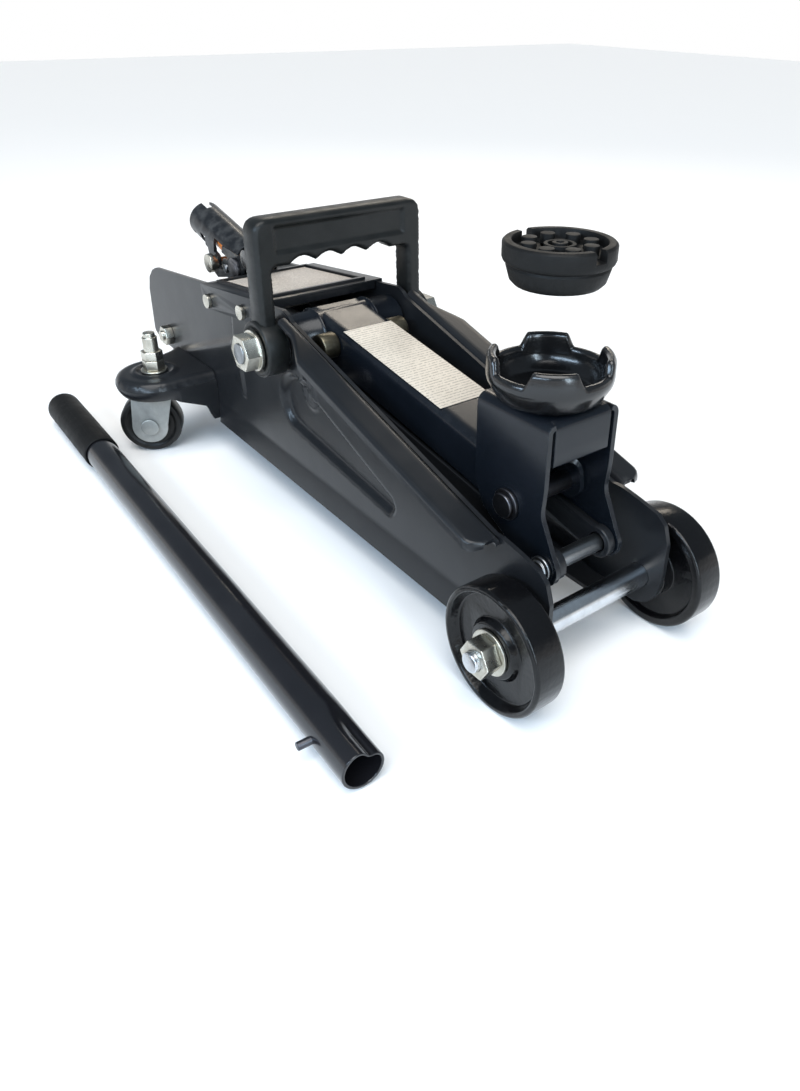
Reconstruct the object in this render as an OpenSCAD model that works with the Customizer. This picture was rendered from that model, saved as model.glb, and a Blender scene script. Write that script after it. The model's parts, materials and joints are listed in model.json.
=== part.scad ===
// Compact hydraulic floor jack. Millimetres, +Z up, +X towards the lifting end.
// Origin: on the floor, on the centre plane, straight below the front axle.

/* [Frame] */
// Half the distance between the outer faces of the two side plates
frame_half = 41; // [40:0.5:44]
// Sheet thickness of the side plates
plate_t = 2.5; // [2:0.1:3]
// Width of the outward flange along the top of each side plate
flange_w = 17; // [14:1:18]
// Depth of the pressed recess in each side plate
recess_depth = 4; // [3:0.5:4]
// Length of the cover over the power unit
cover_len = 86; // [80:1:88]

/* [Wheels] */
// Radius of the front wheels
wheel_r = 32.5; // [31:0.5:34]
// Width of the front wheels
wheel_w = 17; // [15:1:18]
// Radius of the front axle
axle_r = 6.5; // [6:0.25:7]
// Radius of the rear caster wheels
caster_r = 21; // [20:0.25:21]
// Swivel angle of both casters, measured from rolling straight ahead
caster_swivel = 60; // [0:1:90]

/* [Lift] */
// Length of the lift arm between its two pivots
arm_len = 183.4; // [180:0.5:186]
// Half width of the lift arm
arm_half = 18.6; // [18:0.1:18.6]
// Height of the arm's rear pivot above the floor
pivot_z = 109; // [108:0.5:111]
// Distance of the arm's rear pivot behind the front axle
pivot_back = 217; // [215:0.5:219]
// Outer radius of the saddle cup
saddle_r = 29.5; // [28:0.5:31]
// Gap between the saddle floor and the lifted rubber pad
pad_lift = 46; // [40:1:48]

/* [Handles] */
// Height of the carrying handle's grip above its pivots
carry_rise = 73; // [70:1:78]
// Outer radius of the pump handle socket
socket_r = 12.5; // [12:0.1:13]
// Angle of the pump handle socket above the horizontal
socket_tilt = 13; // [10:1:16]
// Radius of the long handle tube
tube_r = 10.3; // [10:0.1:10.4]
// Length of the long handle
tube_len = 442; // [430:1:450]

/* [Hidden] */
$fn = 48;
fit = 0.05;
plate_in = frame_half - plate_t;
arm_drop = 9.2;
sin_a = sin(arm_drop);
cos_a = cos(arm_drop);
pivot_a = [-pivot_back, pivot_z];
pivot_b = pivot_a + arm_len * [cos_a, -sin_a];
link_offset = [26, -23];
pivot_c = pivot_a + link_offset;
pivot_d = pivot_b + link_offset;
shaft_r = 8;
pin_r = 5;
link_pin_r = 4.5;
hub_r = 15.5;
hub_half = 37.5;

// Top edge of the side plates: a rising line under the cover and a falling line ahead of it.
peak_x = -212;
rear_top_slope = 0.1103;
front_top_slope = 0.283;
front_top_z0 = 70.7;
function front_top(x) = front_top_z0 - front_top_slope * x;
peak_z = front_top(peak_x);
function rear_top(x) = peak_z + rear_top_slope * (x - peak_x);
bottom_slope = 0.023;
bottom_z0 = 15.2;
function bottom_z(x) = bottom_z0 - bottom_slope * x;
band_h = 15.5;
band_out = 3;
band_x0 = -311;
band_x1 = -44;
web_rear_x = -330;
wing_in = 4;
wing_rear_x = -436;
wing_front = [-285, 92.7];
wing_low = [-399, 48.5];

flange_x0 = -205;
flange_x1 = -20;
flange_full_at = 37;
flange_angle = atan(front_top_slope);
flange_len = (flange_x1 - flange_x0) / cos(flange_angle);
lip_drop = 5;

recess_big = [-205, 75];
recess_big_r = 19;
recess_small = [-110.3, 50.6];
recess_small_r = 7.2;
bead_top = [-277, 79];
bead_low = [-275, 57];
bead_r = 3;
bead_rise = 1.2;

cross_bolt = [-404, 60];
cross_bolt_r = 4;
mount_bosses = [[-330, 56], [-306, 60]];

// Power unit
block_x0 = -352;
block_x1 = -298;
block_half = 25;
block_z0 = 44;
block_z1 = 100;
ram_z = pivot_z - 34.5;
ram_r = 10;
ram_pin_x = -pivot_back - 22.8;
ram_pin_r = 6;
reservoir_r = 27;
reservoir_x1 = -262;
reservoir_wall = 3;

// Handle socket. Its pivot, its roller and its clamp bolt all lie across the jack.
socket_pivot = [-329, 123];
roller_at = socket_pivot + [-15, -3];
clamp_at = [-361, 120.5];
mouth = [-398, 142];
roller_r = 4;
block_bar = [-311, 133];
block_bar_r = 6.5;
ear_t = 2.5;
plunger_x = roller_at[0];
plunger_gap = 0.4;
plunger_top = roller_at[1] - roller_r - plunger_gap;
socket_bore = socket_r - 1.8;
socket_len = 70;

// Casters
stem_at = [-345.5, -73.8];
ear_z = 56;
ear_t_top = 2.5;
ear_end_r = 27;
skirt_drop = 11;
stem_top = 86;
trail = 7.2;
fork_gap = 18;
fork_t = 2.5;

// Lifting end
bracket_half = 22.4;
bracket_t = 2.8;
bracket_top = 128.4;
bracket_x0 = -60.5;
bracket_x1 = -12.5;
saddle_x = -36.5;
saddle_floor = 4;
saddle_rim = 15.5;
lug_rise = 6.5;
pad_h = 18.5;
pad_r = 24.6;
saddle_z = bracket_top + 0.3;
pad_seat = saddle_z + saddle_floor + 3;

// Handle on the floor, alongside the jack
bar_front = [6, -135];
bar_turn = 2.2;
grip_r = 11.6;
grip_len = 98;

// A round bar across the jack, centred at y_mid
module cross(at, r, len, y_mid = 0, fn = 48) {
    translate([at[0], y_mid, at[1]])
        rotate([90, 0, 0])
            cylinder(h = len, r = r, center = true, $fn = fn);
}

// A hole across the jack
module cross_hole(at, r, len = 200, y_mid = 0) {
    cross(at, r, len, y_mid);
}

// An upright profile given in X and Z, from y0 towards -Y by t
module upright(y0, t) {
    translate([0, y0, 0])
        rotate([90, 0, 0])
            linear_extrude(t)
                children();
}

// Two circles joined by straight sides that run just inside their outer tangents,
// so that each side crosses both circles cleanly
module tapered_slot(c1, r1, c2, r2) {
    inside = 0.05;
    v = c2 - c1;
    base = atan2(v[1], v[0]);
    spread = acos((r1 - r2) / norm(v));
    u1 = [cos(base + spread), sin(base + spread)];
    u2 = [cos(base - spread), sin(base - spread)];
    translate(c1)
        circle(r1);
    translate(c2)
        circle(r2);
    a = r1 - inside;
    b = r2 - inside;
    polygon([c1 + a * u1, c2 + b * u1, c2 + b * u2, c1 + a * u2]);
}

module mirrored_pair() {
    children();
    mirror([0, 1, 0])
        children();
}

// ---- Frame ----

module web_outline() {
    over_band = 0.06;
    polygon([
        [band_x0, bottom_z(band_x0) + band_h - 0.2],
        [band_x1 - 2, bottom_z(band_x1 - 2) + band_h - 0.2],
        [band_x1 - 2, bottom_z(band_x1 - 2) + over_band],
        [0, bottom_z0 + over_band],
        [8, 19.5],
        [12.5, 26],
        [14.5, 38],
        [14.5, 57],
        [11, 67],
        [6, 71],
        [-7, 73.8],
        [-14, 75],
        [peak_x, peak_z],
        [wing_front[0] - 1, rear_top(wing_front[0] - 1)],
        wing_front,
        [-340, 71.4],
        [-340, 34],
        [-331, bottom_z(-331) + over_band],
        [band_x0, bottom_z(band_x0) + over_band]
    ]);
}

module wing_outline() {
    polygon([
        [wing_front[0], rear_top(wing_front[0])],
        wing_front,
        [-340, 71.4],
        wing_low,
        [wing_rear_x + 8, 50],
        [wing_rear_x, 55],
        [wing_rear_x + 2, 88],
        [wing_rear_x + 6, 98],
        [wing_rear_x + 14, 105],
        [wing_rear_x + 22, rear_top(wing_rear_x + 22)]
    ]);
}

module ledge_outline() {
    polygon([
        [wing_front[0] - 2.5, rear_top(wing_front[0])],
        [wing_front[0], rear_top(wing_front[0])],
        wing_front,
        wing_low,
        wing_low + [-1, 2.6],
        wing_front + [-2.5, 1.6]
    ]);
}

module plate_flange() {
    translate([flange_x0, 0, front_top(flange_x0)])
        rotate([0, flange_angle, 0]) {
            translate([0, 0, -plate_t])
                linear_extrude(plate_t)
                    polygon([
                        [0, -plate_in],
                        [0, -frame_half - 3],
                        [flange_full_at, -frame_half - flange_w],
                        [flange_len - 8, -frame_half - flange_w],
                        [flange_len - 4, -frame_half - flange_w + 3],
                        [flange_len, -frame_half - 4],
                        [flange_len + 3, -plate_in]
                    ]);
            translate([0, 0, -plate_t - lip_drop])
                linear_extrude(lip_drop + 1)
                    polygon([
                        [1, -frame_half - 3],
                        [flange_full_at, -frame_half - flange_w],
                        [flange_len - 8, -frame_half - flange_w],
                        [flange_len - 8, -frame_half - flange_w + 2],
                        [flange_full_at + 0.4, -frame_half - flange_w + 2],
                        [4, -frame_half - 2]
                    ]);
        }
}

module plate_band() {
    rear = band_x0 - 1.5;
    translate([rear, 0, bottom_z(rear)])
        rotate([0, atan(bottom_slope), 0])
            rotate([90, 0, 90])
                linear_extrude((band_x1 - rear) / cos(atan(bottom_slope)))
                    polygon([
                        [-plate_in - 1, 0],
                        [-frame_half - band_out, 0],
                        [-frame_half, band_h],
                        [-plate_in, band_h],
                        [-plate_in, band_h - 3]
                    ]);
}

// Flange turned inwards along the bottom
module plate_foot() {
    rear = band_x0 - 3;
    translate([rear, 0, bottom_z(rear) + 0.02])
        rotate([0, atan(bottom_slope), 0])
            linear_extrude(plate_t)
                polygon([
                    [0, -frame_half + 0.5],
                    [8, -27],
                    [-band_x0 - 24, -25],
                    [-band_x0 - 8, -30],
                    [-band_x0, -frame_half + 1]
                ]);
}

// Right-hand plate; the left-hand one is its mirror image
module side_plate() {
    difference() {
        union() {
            difference() {
                upright(-plate_in, plate_t)
                    web_outline();
                upright(-plate_in + 1, plate_t + 2)
                    tapered_slot(recess_big, recess_big_r - 0.5, recess_small, recess_small_r - 0.5);
            }
            difference() {
                upright(-frame_half + recess_depth + plate_t, recess_depth + plate_t)
                    tapered_slot(recess_big, recess_big_r, recess_small, recess_small_r);
                upright(-frame_half + recess_depth, recess_depth + 1)
                    tapered_slot(recess_big, recess_big_r - plate_t, recess_small, recess_small_r - plate_t);
            }
            upright(-frame_half + wing_in + plate_t, plate_t)
                wing_outline();
            upright(-frame_half + wing_in + plate_t, wing_in + plate_t)
                ledge_outline();
            plate_flange();
            plate_band();
            plate_foot();
            upright(-frame_half + 0.5, bead_rise + 0.5)
                tapered_slot(bead_top, bead_r, bead_low, bead_r - 0.5);
            difference() {
                cross(pivot_c, 10.5, 2, -frame_half + recess_depth);
                cross(pivot_c, 8, 4, -frame_half + recess_depth);
            }
        }
        cross_hole(pivot_a, shaft_r + fit);
        cross_hole([0, wheel_r], axle_r + fit);
        cross_hole(pivot_c, 5 + fit);
        cross_hole(cross_bolt, cross_bolt_r + fit);
        for (i = [0, 1])
            cross_hole(cover_screw(i), cover_screw_r + fit);
    }
}

module side_plate_right() {
    color("#22262b")
        side_plate();
}

module side_plate_left() {
    color("#22262b")
        mirror([0, 1, 0])
            side_plate();
}

// Pressed bracket welded to the plate's outer face. It carries the caster's stem.
module caster_bracket() {
    sx = stem_at[0];
    sy = stem_at[1];
    front = sx + ear_end_r;
    difference() {
        union() {
            translate([0, 0, ear_z])
                linear_extrude(ear_t_top)
                    bracket_plan(0);
            difference() {
                translate([0, 0, ear_z - skirt_drop])
                    linear_extrude(skirt_drop + 1)
                        bracket_plan(0);
                translate([0, 0, ear_z - skirt_drop - 1])
                    linear_extrude(skirt_drop + 1)
                        bracket_plan(ear_t_top);
            }
            translate([sx, sy, ear_z + ear_t_top - 0.5])
                difference() {
                    cylinder(h = 1.7, r = 15);
                    translate([0, 0, -1])
                        cylinder(h = 4, r = 11.5);
                }
            // front skirt, deeper towards the plate, with a tab at its foot
            translate([front, 0, 0])
                rotate([90, 0, -90])
                    linear_extrude(ear_t_top)
                        polygon([
                            [frame_half, ear_z + 1],
                            [-sy, ear_z + 1],
                            [-sy, ear_z - skirt_drop],
                            [-sy - 5, ear_z - skirt_drop - 1],
                            [51, ear_z - 20],
                            [47, ear_z - 21.5],
                            [46, ear_z - 29],
                            [44, ear_z - 32],
                            [frame_half, ear_z - 32]
                        ]);
            // weld flange against the plate
            translate([sx - 36, -frame_half - ear_t_top, ear_z - 18])
                cube([36 + ear_end_r, ear_t_top, 19]);
        }
        translate([sx, sy, ear_z - 10])
            cylinder(h = 20, r = 5 + fit);
    }
}

module bracket_plan(inset) {
    sx = stem_at[0];
    sy = stem_at[1];
    root = frame_half - (inset > 0 ? 1 : 0);
    translate([sx, sy])
        circle(ear_end_r - inset);
    polygon([
        [sx - 42 + 2 * inset, -root],
        [sx - 34 + inset, -frame_half - 9],
        [sx - ear_end_r + inset, sy],
        [sx + ear_end_r - inset, sy],
        [sx + ear_end_r - inset, -root]
    ]);
}

module caster_bracket_right() {
    color("#22262b")
        caster_bracket();
}

module caster_bracket_left() {
    color("#22262b")
        mirror([0, 1, 0])
            caster_bracket();
}

cover_x1 = -234;
cover_x0 = cover_x1 - cover_len;
cover_t = 1.5;
cover_angle = atan(rear_top_slope);
cover_half = frame_half + 2;
cover_screw_r = 2.5;

// Runs in the cover's own frame: origin at its rear edge on the plates' top line
module on_cover() {
    translate([cover_x0, 0, rear_top(cover_x0)])
        rotate([0, -cover_angle, 0])
            children();
}

module cover_plate() {
    long = cover_len / cos(cover_angle);
    color("#1d2126")
        difference() {
            on_cover() {
                translate([0, -cover_half, 0.02])
                    cube([long, 2 * cover_half, cover_t]);
                mirrored_pair()
                    translate([0, -cover_half, -14])
                        rotate([90, 0, 0])
                            translate([0, 0, -1.9])
                                linear_extrude(1.9)
                                    polygon([
                                        [3, 0],
                                        [long - 10, 0],
                                        [long - 2, 4],
                                        [long, 10],
                                        [long, 14.5],
                                        [0, 14.5],
                                        [0, 3]
                                    ]);
                // raised border round the label
                translate([6, -34, cover_t])
                    difference() {
                        cube([long - 12, 68, 1.6]);
                        translate([3, 3, -1])
                            cube([long - 18, 62, 4]);
                    }
                translate([long - 1.5, -cover_half + 6, -4])
                    cube([1.5, 2 * cover_half - 12, 5]);
            }
            for (i = [0, 1])
                cross_hole(cover_screw(i), cover_screw_r + fit);
        }
}

function cover_screw(i) = [-309 + i * 48, rear_top(-309 + i * 48) - 8.5];

module cover_label() {
    long = cover_len / cos(cover_angle);
    color("#d8cdbd")
        on_cover()
            translate([10.5, -29.5, cover_t + 0.04])
                cube([long - 21, 59, 0.4]);
}

// Short screws through the cover's sides into the plates
module cover_screws() {
    color("#b9b6ab")
        mirrored_pair()
            for (i = [0, 1]) {
                cross(cover_screw(i), cover_screw_r, 9, -cover_half + 2);
                cross(cover_screw(i), 4.5, 2.4, -cover_half - 1.25);
            }
}

function wheel_inner() = frame_half + 5;
function wheel_outer() = wheel_inner() + wheel_w;
function hub_face() = wheel_outer() - 1.5;

module front_axle() {
    color("#d5d8da") {
        cross([0, wheel_r], axle_r, 2 * hub_face() + 2);
        cross([0, wheel_r], 5, 2 * hub_face() + 26);
    }
}

module front_axle_washers() {
    color("#c9c7bc")
        mirrored_pair()
            difference() {
                cross([0, wheel_r], 11.5, 1.6, -hub_face() - 0.9);
                cross([0, wheel_r], axle_r + fit, 4, -hub_face() - 0.9);
            }
}

// Hexagon nut standing up from z = 0, with a round flange under it where flange_r is given
module hex_nut(across, h, hole, flange_r = 0) {
    difference() {
        union() {
            cylinder(h = h, r = across / 2 / cos(30), $fn = 6);
            if (flange_r > 0)
                cylinder(h = 2, r = flange_r);
        }
        translate([0, 0, -1])
            cylinder(h = h + 2, r = hole);
    }
}

module front_axle_nuts() {
    color("#c9c7bc")
        mirrored_pair()
            translate([0, -hub_face() - 1.75, wheel_r])
                rotate([90, 0, 0])
                    hex_nut(17, 8.5, 5);
}

module front_wheel(side) {
    hub_out = 14;
    color("#0e0f10")
        translate([0, 0, wheel_r])
            rotate([90 * side, 0, 0])
                rotate_extrude($fn = 96)
                    polygon([
                        [axle_r + fit, frame_half + 0.4],
                        [hub_out, frame_half + 0.4],
                        [hub_out, wheel_inner() + 3],
                        [wheel_r - 6, wheel_inner() + 3],
                        [wheel_r - 5, wheel_inner()],
                        [wheel_r - 1, wheel_inner()],
                        [wheel_r, wheel_inner() + 1],
                        [wheel_r, wheel_outer() - 1],
                        [wheel_r - 1, wheel_outer()],
                        [wheel_r - 3, wheel_outer()],
                        [wheel_r - 5, wheel_outer() - 5],
                        [hub_out + 2, wheel_outer() - 5],
                        [hub_out, hub_face()],
                        [axle_r + fit, hub_face()]
                    ]);
}

module front_wheel_right() {
    front_wheel(1);
}

module front_wheel_left() {
    front_wheel(-1);
}

// ---- Pivots and ties across the frame ----

boss_y0 = frame_half + 2.6;
boss_y1 = boss_y0 + 14;

module arm_pivot_shaft() {
    color("#8d9092") {
        cross(pivot_a, shaft_r, 2 * boss_y0 - 0.4);
        cross(pivot_a, 6, 2 * boss_y1 + 22);
    }
}

// Steel collars that carry the handle's bosses clear of the plates
module arm_pivot_spacers() {
    color("#8d9092")
        mirrored_pair()
            difference() {
                cross(pivot_a, 12, 2.3, -frame_half - 1.2);
                cross(pivot_a, shaft_r + fit, 8, -frame_half - 1.2);
            }
}

module arm_pivot_nuts() {
    color("#c9c7bc")
        mirrored_pair()
            translate([pivot_a[0], -boss_y1 - 0.15, pivot_a[1]])
                rotate([90, 0, 0])
                    hex_nut(19, 10, 6, 12);
}

// Stub pins fixed in the plates: the rear ends of the parallel links turn on them
module link_anchor_pins() {
    color("#8d9092")
        mirrored_pair() {
            cross(pivot_c, 5, frame_half - recess_depth + 0.5 - 12.5, -(frame_half - recess_depth + 0.5 + 12.5) / 2);
            cross(pivot_c, 9, plate_in - recess_depth - 20.4, -(plate_in - recess_depth + 20.4) / 2);
        }
}

module rear_cross_bolt() {
    color("#c9c7bc") {
        cross(cross_bolt, cross_bolt_r, 2 * frame_half + 8);
        mirrored_pair()
            translate([cross_bolt[0], -frame_half + wing_in - 0.05, cross_bolt[1]])
                rotate([90, 0, 0])
                    cylinder(h = 6, r = 13 / 2 / cos(30), $fn = 6);
    }
}

module rear_cross_spacer() {
    color("#22262b")
        difference() {
            cross(cross_bolt, 8, 2 * (plate_in - wing_in) - 0.1);
            cross(cross_bolt, cross_bolt_r + fit, 100);
        }
}

// ---- Power unit ----

lug_half = 7.4;

module pump_block() {
    color("#22262b")
        difference() {
            union() {
                translate([block_x0, -block_half, block_z0])
                    cube([block_x1 - block_x0, 2 * block_half, block_z1 - block_z0]);
                for (at = mount_bosses)
                    cross(at, 8, 2 * plate_in - 0.1);
                // lug that carries the handle socket
                upright(lug_half, 2 * lug_half) {
                    translate(socket_pivot)
                        circle(7);
                    translate([socket_pivot[0] - 7, block_z1 - 2])
                        square([14, socket_pivot[1] - block_z1 + 2]);
                    translate(socket_pivot)
                        polygon([[0, -1], [16, 1.5], [18, 9], [12, 6], [8, 4], [0, 4]]);
                }
                cross(block_bar, block_bar_r, 28);
                translate([plunger_x, 0, block_z1 - 1])
                    cylinder(h = 3.4, r = 9);
            }
            cross_hole(socket_pivot, pin_r + fit);
            translate([plunger_x, 0, block_z0 + 14])
                cylinder(h = 60, r = 4.5 + fit);
            translate([block_x0 - 1, 0, ram_z + 12])
                rotate([0, 90, 0])
                    cylinder(h = 9, r = 6 + fit);
            translate([block_x1 - 20, 0, ram_z])
                rotate([0, 90, 0])
                    cylinder(h = 22, r = ram_r + 5 + fit);
            translate([block_x1 - 12, 14, block_z1 - 9])
                cylinder(h = 12, r = 4 + fit);
            translate([block_x0 - 1, 14, block_z0 + 10])
                rotate([0, 90, 0])
                    cylinder(h = 9, r = 4 + fit);
        }
}

// Oil reservoir round the ram's cylinder
module reservoir() {
    color("#22262b")
        translate([block_x1 + 0.05, 0, ram_z])
            rotate([0, 90, 0])
                difference() {
                    cylinder(h = reservoir_x1 - block_x1, r = reservoir_r);
                    translate([0, 0, -1])
                        cylinder(h = reservoir_x1 - block_x1 - 4, r = reservoir_r - reservoir_wall);
                    cylinder(h = 80, r = ram_r + 5 + fit);
                }
}

module ram_cylinder() {
    color("#7d8183")
        translate([block_x1 - 19.9, 0, ram_z])
            rotate([0, 90, 0])
                difference() {
                    cylinder(h = reservoir_x1 - block_x1 + 19.9, r = ram_r + 5);
                    translate([0, 0, 5])
                        cylinder(h = 90, r = ram_r + fit);
                }
}

module ram() {
    yoke = 12;
    fork_depth = 17;
    heel = 21.3;
    color("#c3c7c9")
        difference() {
            union() {
                translate([block_x1 - 8, 0, ram_z])
                    rotate([0, 90, 0])
                        cylinder(h = ram_pin_x - block_x1 + 7 - fork_depth, r = ram_r);
                intersection() {
                    upright(yoke, 2 * yoke) {
                        translate([ram_pin_x, ram_z])
                            circle(10);
                        translate([ram_pin_x - heel, ram_z - 10])
                            square([heel, 20]);
                    }
                    translate([ram_pin_x - heel, 0, ram_z])
                        rotate([0, 90, 0])
                            cylinder(h = heel + 15, r = 15);
                }
            }
            translate([ram_pin_x - fork_depth, -8.6, ram_z - 20])
                cube([40, 17.2, 40]);
            cross_hole([ram_pin_x, ram_z], ram_pin_r + fit);
        }
}

module ram_pin() {
    color("#8d9092")
        cross([ram_pin_x, ram_z], ram_pin_r, 23.5);
}

module filler_plug() {
    color("#1a1a1a")
        translate([block_x1 - 12, 14, block_z1]) {
            translate([0, 0, -8])
                cylinder(h = 9, r = 4);
            translate([0, 0, 0.05])
                cylinder(h = 3, r = 6.5);
        }
}

module relief_valve() {
    color("#b9b6ab")
        translate([block_x0, 14, block_z0 + 10])
            rotate([0, 90, 0]) {
                translate([0, 0, -3.05])
                    cylinder(h = 3, r = 6 / cos(30), $fn = 6);
                translate([0, 0, -1])
                    cylinder(h = 8, r = 4);
            }
}

// Needle valve that lets the ram back down when it is turned
module release_valve() {
    color("#b9b6ab")
        translate([block_x0, 0, ram_z + 12])
            rotate([0, 90, 0]) {
                translate([0, 0, -12])
                    cylinder(h = 14.8, r = 6);
                translate([0, -2, -20])
                    translate([-5, 0, 0])
                        cube([10, 4, 9]);
            }
}

module pump_plunger() {
    color("#c3c7c9")
        translate([plunger_x, 0, 0]) {
            translate([0, 0, block_z0 + 20])
                cylinder(h = plunger_top - block_z0 - 20, r = 4.5);
            translate([0, 0, plunger_top - 3])
                cylinder(h = 3, r = 6.4);
        }
}

spring_z0 = block_z1 + 2.5;

module plunger_spring() {
    turns = 3;
    wire = 0.7;
    pitch = (plunger_top - 3 - spring_z0 - 2 * wire) / turns;
    color("#8d9092")
        translate([plunger_x, 0, spring_z0 + wire])
            for (i = [0:turns])
                translate([0, 0, i * pitch])
                    rotate_extrude($fn = 32)
                        translate([5.6, 0])
                            circle(wire, $fn = 12);
}

// ---- Handle socket ----

// The socket's own frame: origin at the mouth, running down the tube
module on_socket() {
    translate([mouth[0], 0, mouth[1]])
        rotate([0, 90 + socket_tilt, 0])
            children();
}

module ear_outline() {
    difference() {
        union() {
            translate(socket_pivot)
                circle(7.5);
            translate(roller_at)
                circle(6.5);
            polygon([
                [-375, 135],
                [-375, 130],
                [-371.7, 128.6],
                [-370.8, 125],
                [-365.6, 112.5],
                [-360, 110],
                roller_at + [-1, -6.4],
                socket_pivot + [5, -5.6],
                socket_pivot + [7.5, 0],
                socket_pivot + [3, 9],
                [-336, 134]
            ]);
        }
        polygon([
            [-356.6, 117.5],
            [-356.6, 125.5],
            [-361, 128],
            [-357, 134],
            [-348, 134.5],
            [-340, 131.5],
            [-339, 127],
            [-349, 125.5],
            [-351.5, 117]
        ]);
    }
}

module handle_socket() {
    color("#22262b")
        difference() {
            union() {
                on_socket()
                    difference() {
                        cylinder(h = socket_len, r = socket_r);
                        // lower half cut away towards the pivot
                        translate([1, -30, 17])
                            cube([60, 60, 80]);
                        translate([4, -30, 5])
                            rotate([0, 35, 0])
                                cube([60, 60, 60]);
                    }
                upright(socket_r, ear_t)
                    ear_outline();
                upright(-socket_r + ear_t, ear_t)
                    ear_outline();
            }
            on_socket() {
                translate([0, 0, -1])
                    cylinder(h = socket_len + 2, r = socket_bore);
                translate([-30, -3, -1])
                    cube([30, 6, 10]);
            }
            cross_hole(socket_pivot, pin_r + fit);
            cross_hole(roller_at, 3 + fit);
            cross_hole(clamp_at, 3 + fit);
            translate([mouth[0] - 20, -socket_r + ear_t + 0.01, 96])
                cube([socket_len + 60, 2 * (socket_r - ear_t) - 0.02, 26]);
            translate([socket_pivot[0] - 8.4, -socket_r + ear_t + 0.01, 100])
                cube([30, 2 * (socket_r - ear_t) - 0.02, socket_pivot[1] + 9.5 - 100]);
            // the bore's walls open where the ears' windows are
            on_socket()
                translate([-4, -30, 38])
                    cube([10, 21, 12]);
        }
}

module socket_pivot_pin() {
    color("#8d9092") {
        cross(socket_pivot, pin_r, 2 * socket_r + 5);
        cross(socket_pivot, 7.5, 2, -socket_r - 1.2);
        cross(socket_pivot, 7.5, 2, socket_r + 1.2);
    }
}

module socket_roller() {
    color("#8d9092") {
        cross(roller_at, 3, 2 * socket_r + 3);
        cross(roller_at, roller_r, 2 * (socket_r - ear_t) - 0.4);
    }
}

module socket_clamp_bolt() {
    color("#b9b6ab") {
        cross(clamp_at, 3, 2 * socket_r + 8);
        translate([clamp_at[0], -socket_r - 2.5, clamp_at[1]])
            rotate([90, 0, 0])
                cylinder(h = 3.5, r = 6.5);
        cross(clamp_at, 5, 2.5, -socket_r - 1.3);
        translate([clamp_at[0], socket_r + 4.6, clamp_at[1]])
            rotate([90, 0, 0])
                cylinder(h = 4.5, r = 5.5 / cos(30), $fn = 6);
    }
}

// Plastic-sleeved joint that passes the handle's twist to the valve
module release_coupling() {
    color("#d8601c")
        on_socket()
            difference() {
                union() {
                    translate([0, 0, 32])
                        cylinder(h = 18, r = 9);
                    translate([0, 0, 49])
                        cylinder(h = 12, r = 4.6);
                }
                // slot for the handle's key
                translate([-12, -2.2, 31])
                    cube([24, 4.4, 7]);
            }
}

// ---- Lift arm ----

// The arm's own frame: X along the arm from its rear pivot, Z square to it
module on_arm() {
    translate([pivot_a[0], 0, pivot_a[1]])
        rotate([0, arm_drop, 0])
            children();
}

arm_top = 15.4;
arm_wall = 2.5;
slot_r = ram_pin_r + 1.7;

module arm_side_outline() {
    circle(hub_r);
    polygon([
        [-7, arm_top],
        [arm_len - 4, arm_top],
        [arm_len + 8, arm_top - 6],
        [arm_len + 11, 0],
        [arm_len + 6, -8],
        [arm_len - 5, -10],
        [arm_len - 40, -9],
        [40, -8],
        [14, -7]
    ]);
}

module lift_arm() {
    lug_low = [-26, -33];
    color("#1d2126")
        difference() {
            union() {
                on_arm() {
                    translate([-7, -arm_half, arm_top - arm_wall])
                        cube([arm_len + 1, 2 * arm_half, arm_wall]);
                    for (y = [arm_half, -arm_half + arm_wall])
                        upright(y, arm_wall)
                            arm_side_outline();
                    cross([0, 0], hub_r, 2 * hub_half);
                }
                // lug pushed by the ram
                upright(8, 16) {
                    translate(pivot_a)
                        circle(14);
                    translate([ram_pin_x, ram_z - 5])
                        circle(13);
                    polygon([
                        pivot_a + [-13, -5],
                        pivot_a + [12, -7],
                        [ram_pin_x + 12.6, ram_z - 2],
                        [ram_pin_x - 13, ram_z - 3]
                    ]);
                }
            }
            cross_hole(pivot_a, shaft_r + fit);
            on_arm()
                cross([arm_len, 0], pin_r + fit, 100);
            upright(10, 20)
                tapered_slot(
                    [ram_pin_x, ram_z] + 5.4 * [sin(33.5), cos(33.5)], slot_r + 0.01,
                    [ram_pin_x, ram_z] - 6 * [sin(33.5), cos(33.5)], slot_r
                );
        }
}

// Round posts on the arm's sides, just ahead of the hub
module arm_collars() {
    post_at = [22.6, 5.8];
    color("#a39f8e")
        on_arm()
            mirrored_pair()
                difference() {
                    cross(post_at, 7.5, 11, -arm_half - 5.6);
                    cross(post_at, 3, 14, -arm_half - 8);
                }
}

module arm_label() {
    color("#e2d8c6")
        on_arm()
            translate([28, -16.5, arm_top + 0.04])
                cube([92, 33, 0.35]);
}

// ---- Parallel links ----

link_half = 7;

module link_bars() {
    color("#22262b")
        mirrored_pair()
            difference() {
                upright(-14, 5)
                    union() {
                        translate(pivot_c)
                            circle(9);
                        translate(pivot_d)
                            circle(8.4);
                        polygon([
                            pivot_c + link_half * [sin_a, cos_a],
                            pivot_d + link_half * [sin_a, cos_a],
                            pivot_d - link_half * [sin_a, cos_a],
                            pivot_c - link_half * [sin_a, cos_a]
                        ]);
                    }
                cross_hole(pivot_c, 5 + fit);
                cross_hole(pivot_d, link_pin_r + 0.6);
            }
}

// ---- Saddle carrier ----

module cheek_outline() {
    translate(pivot_d)
        circle(9.5);
    polygon([
        [bracket_x0, bracket_top],
        [bracket_x0, 84],
        [-54, 70],
        [-20, 53],
        pivot_d + [-4, -8.6],
        pivot_d + [8, -5],
        [-4.6, 66],
        [-8.8, 74],
        [-13.6, 82],
        [bracket_x1, 96],
        [bracket_x1, bracket_top]
    ]);
}

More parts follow.
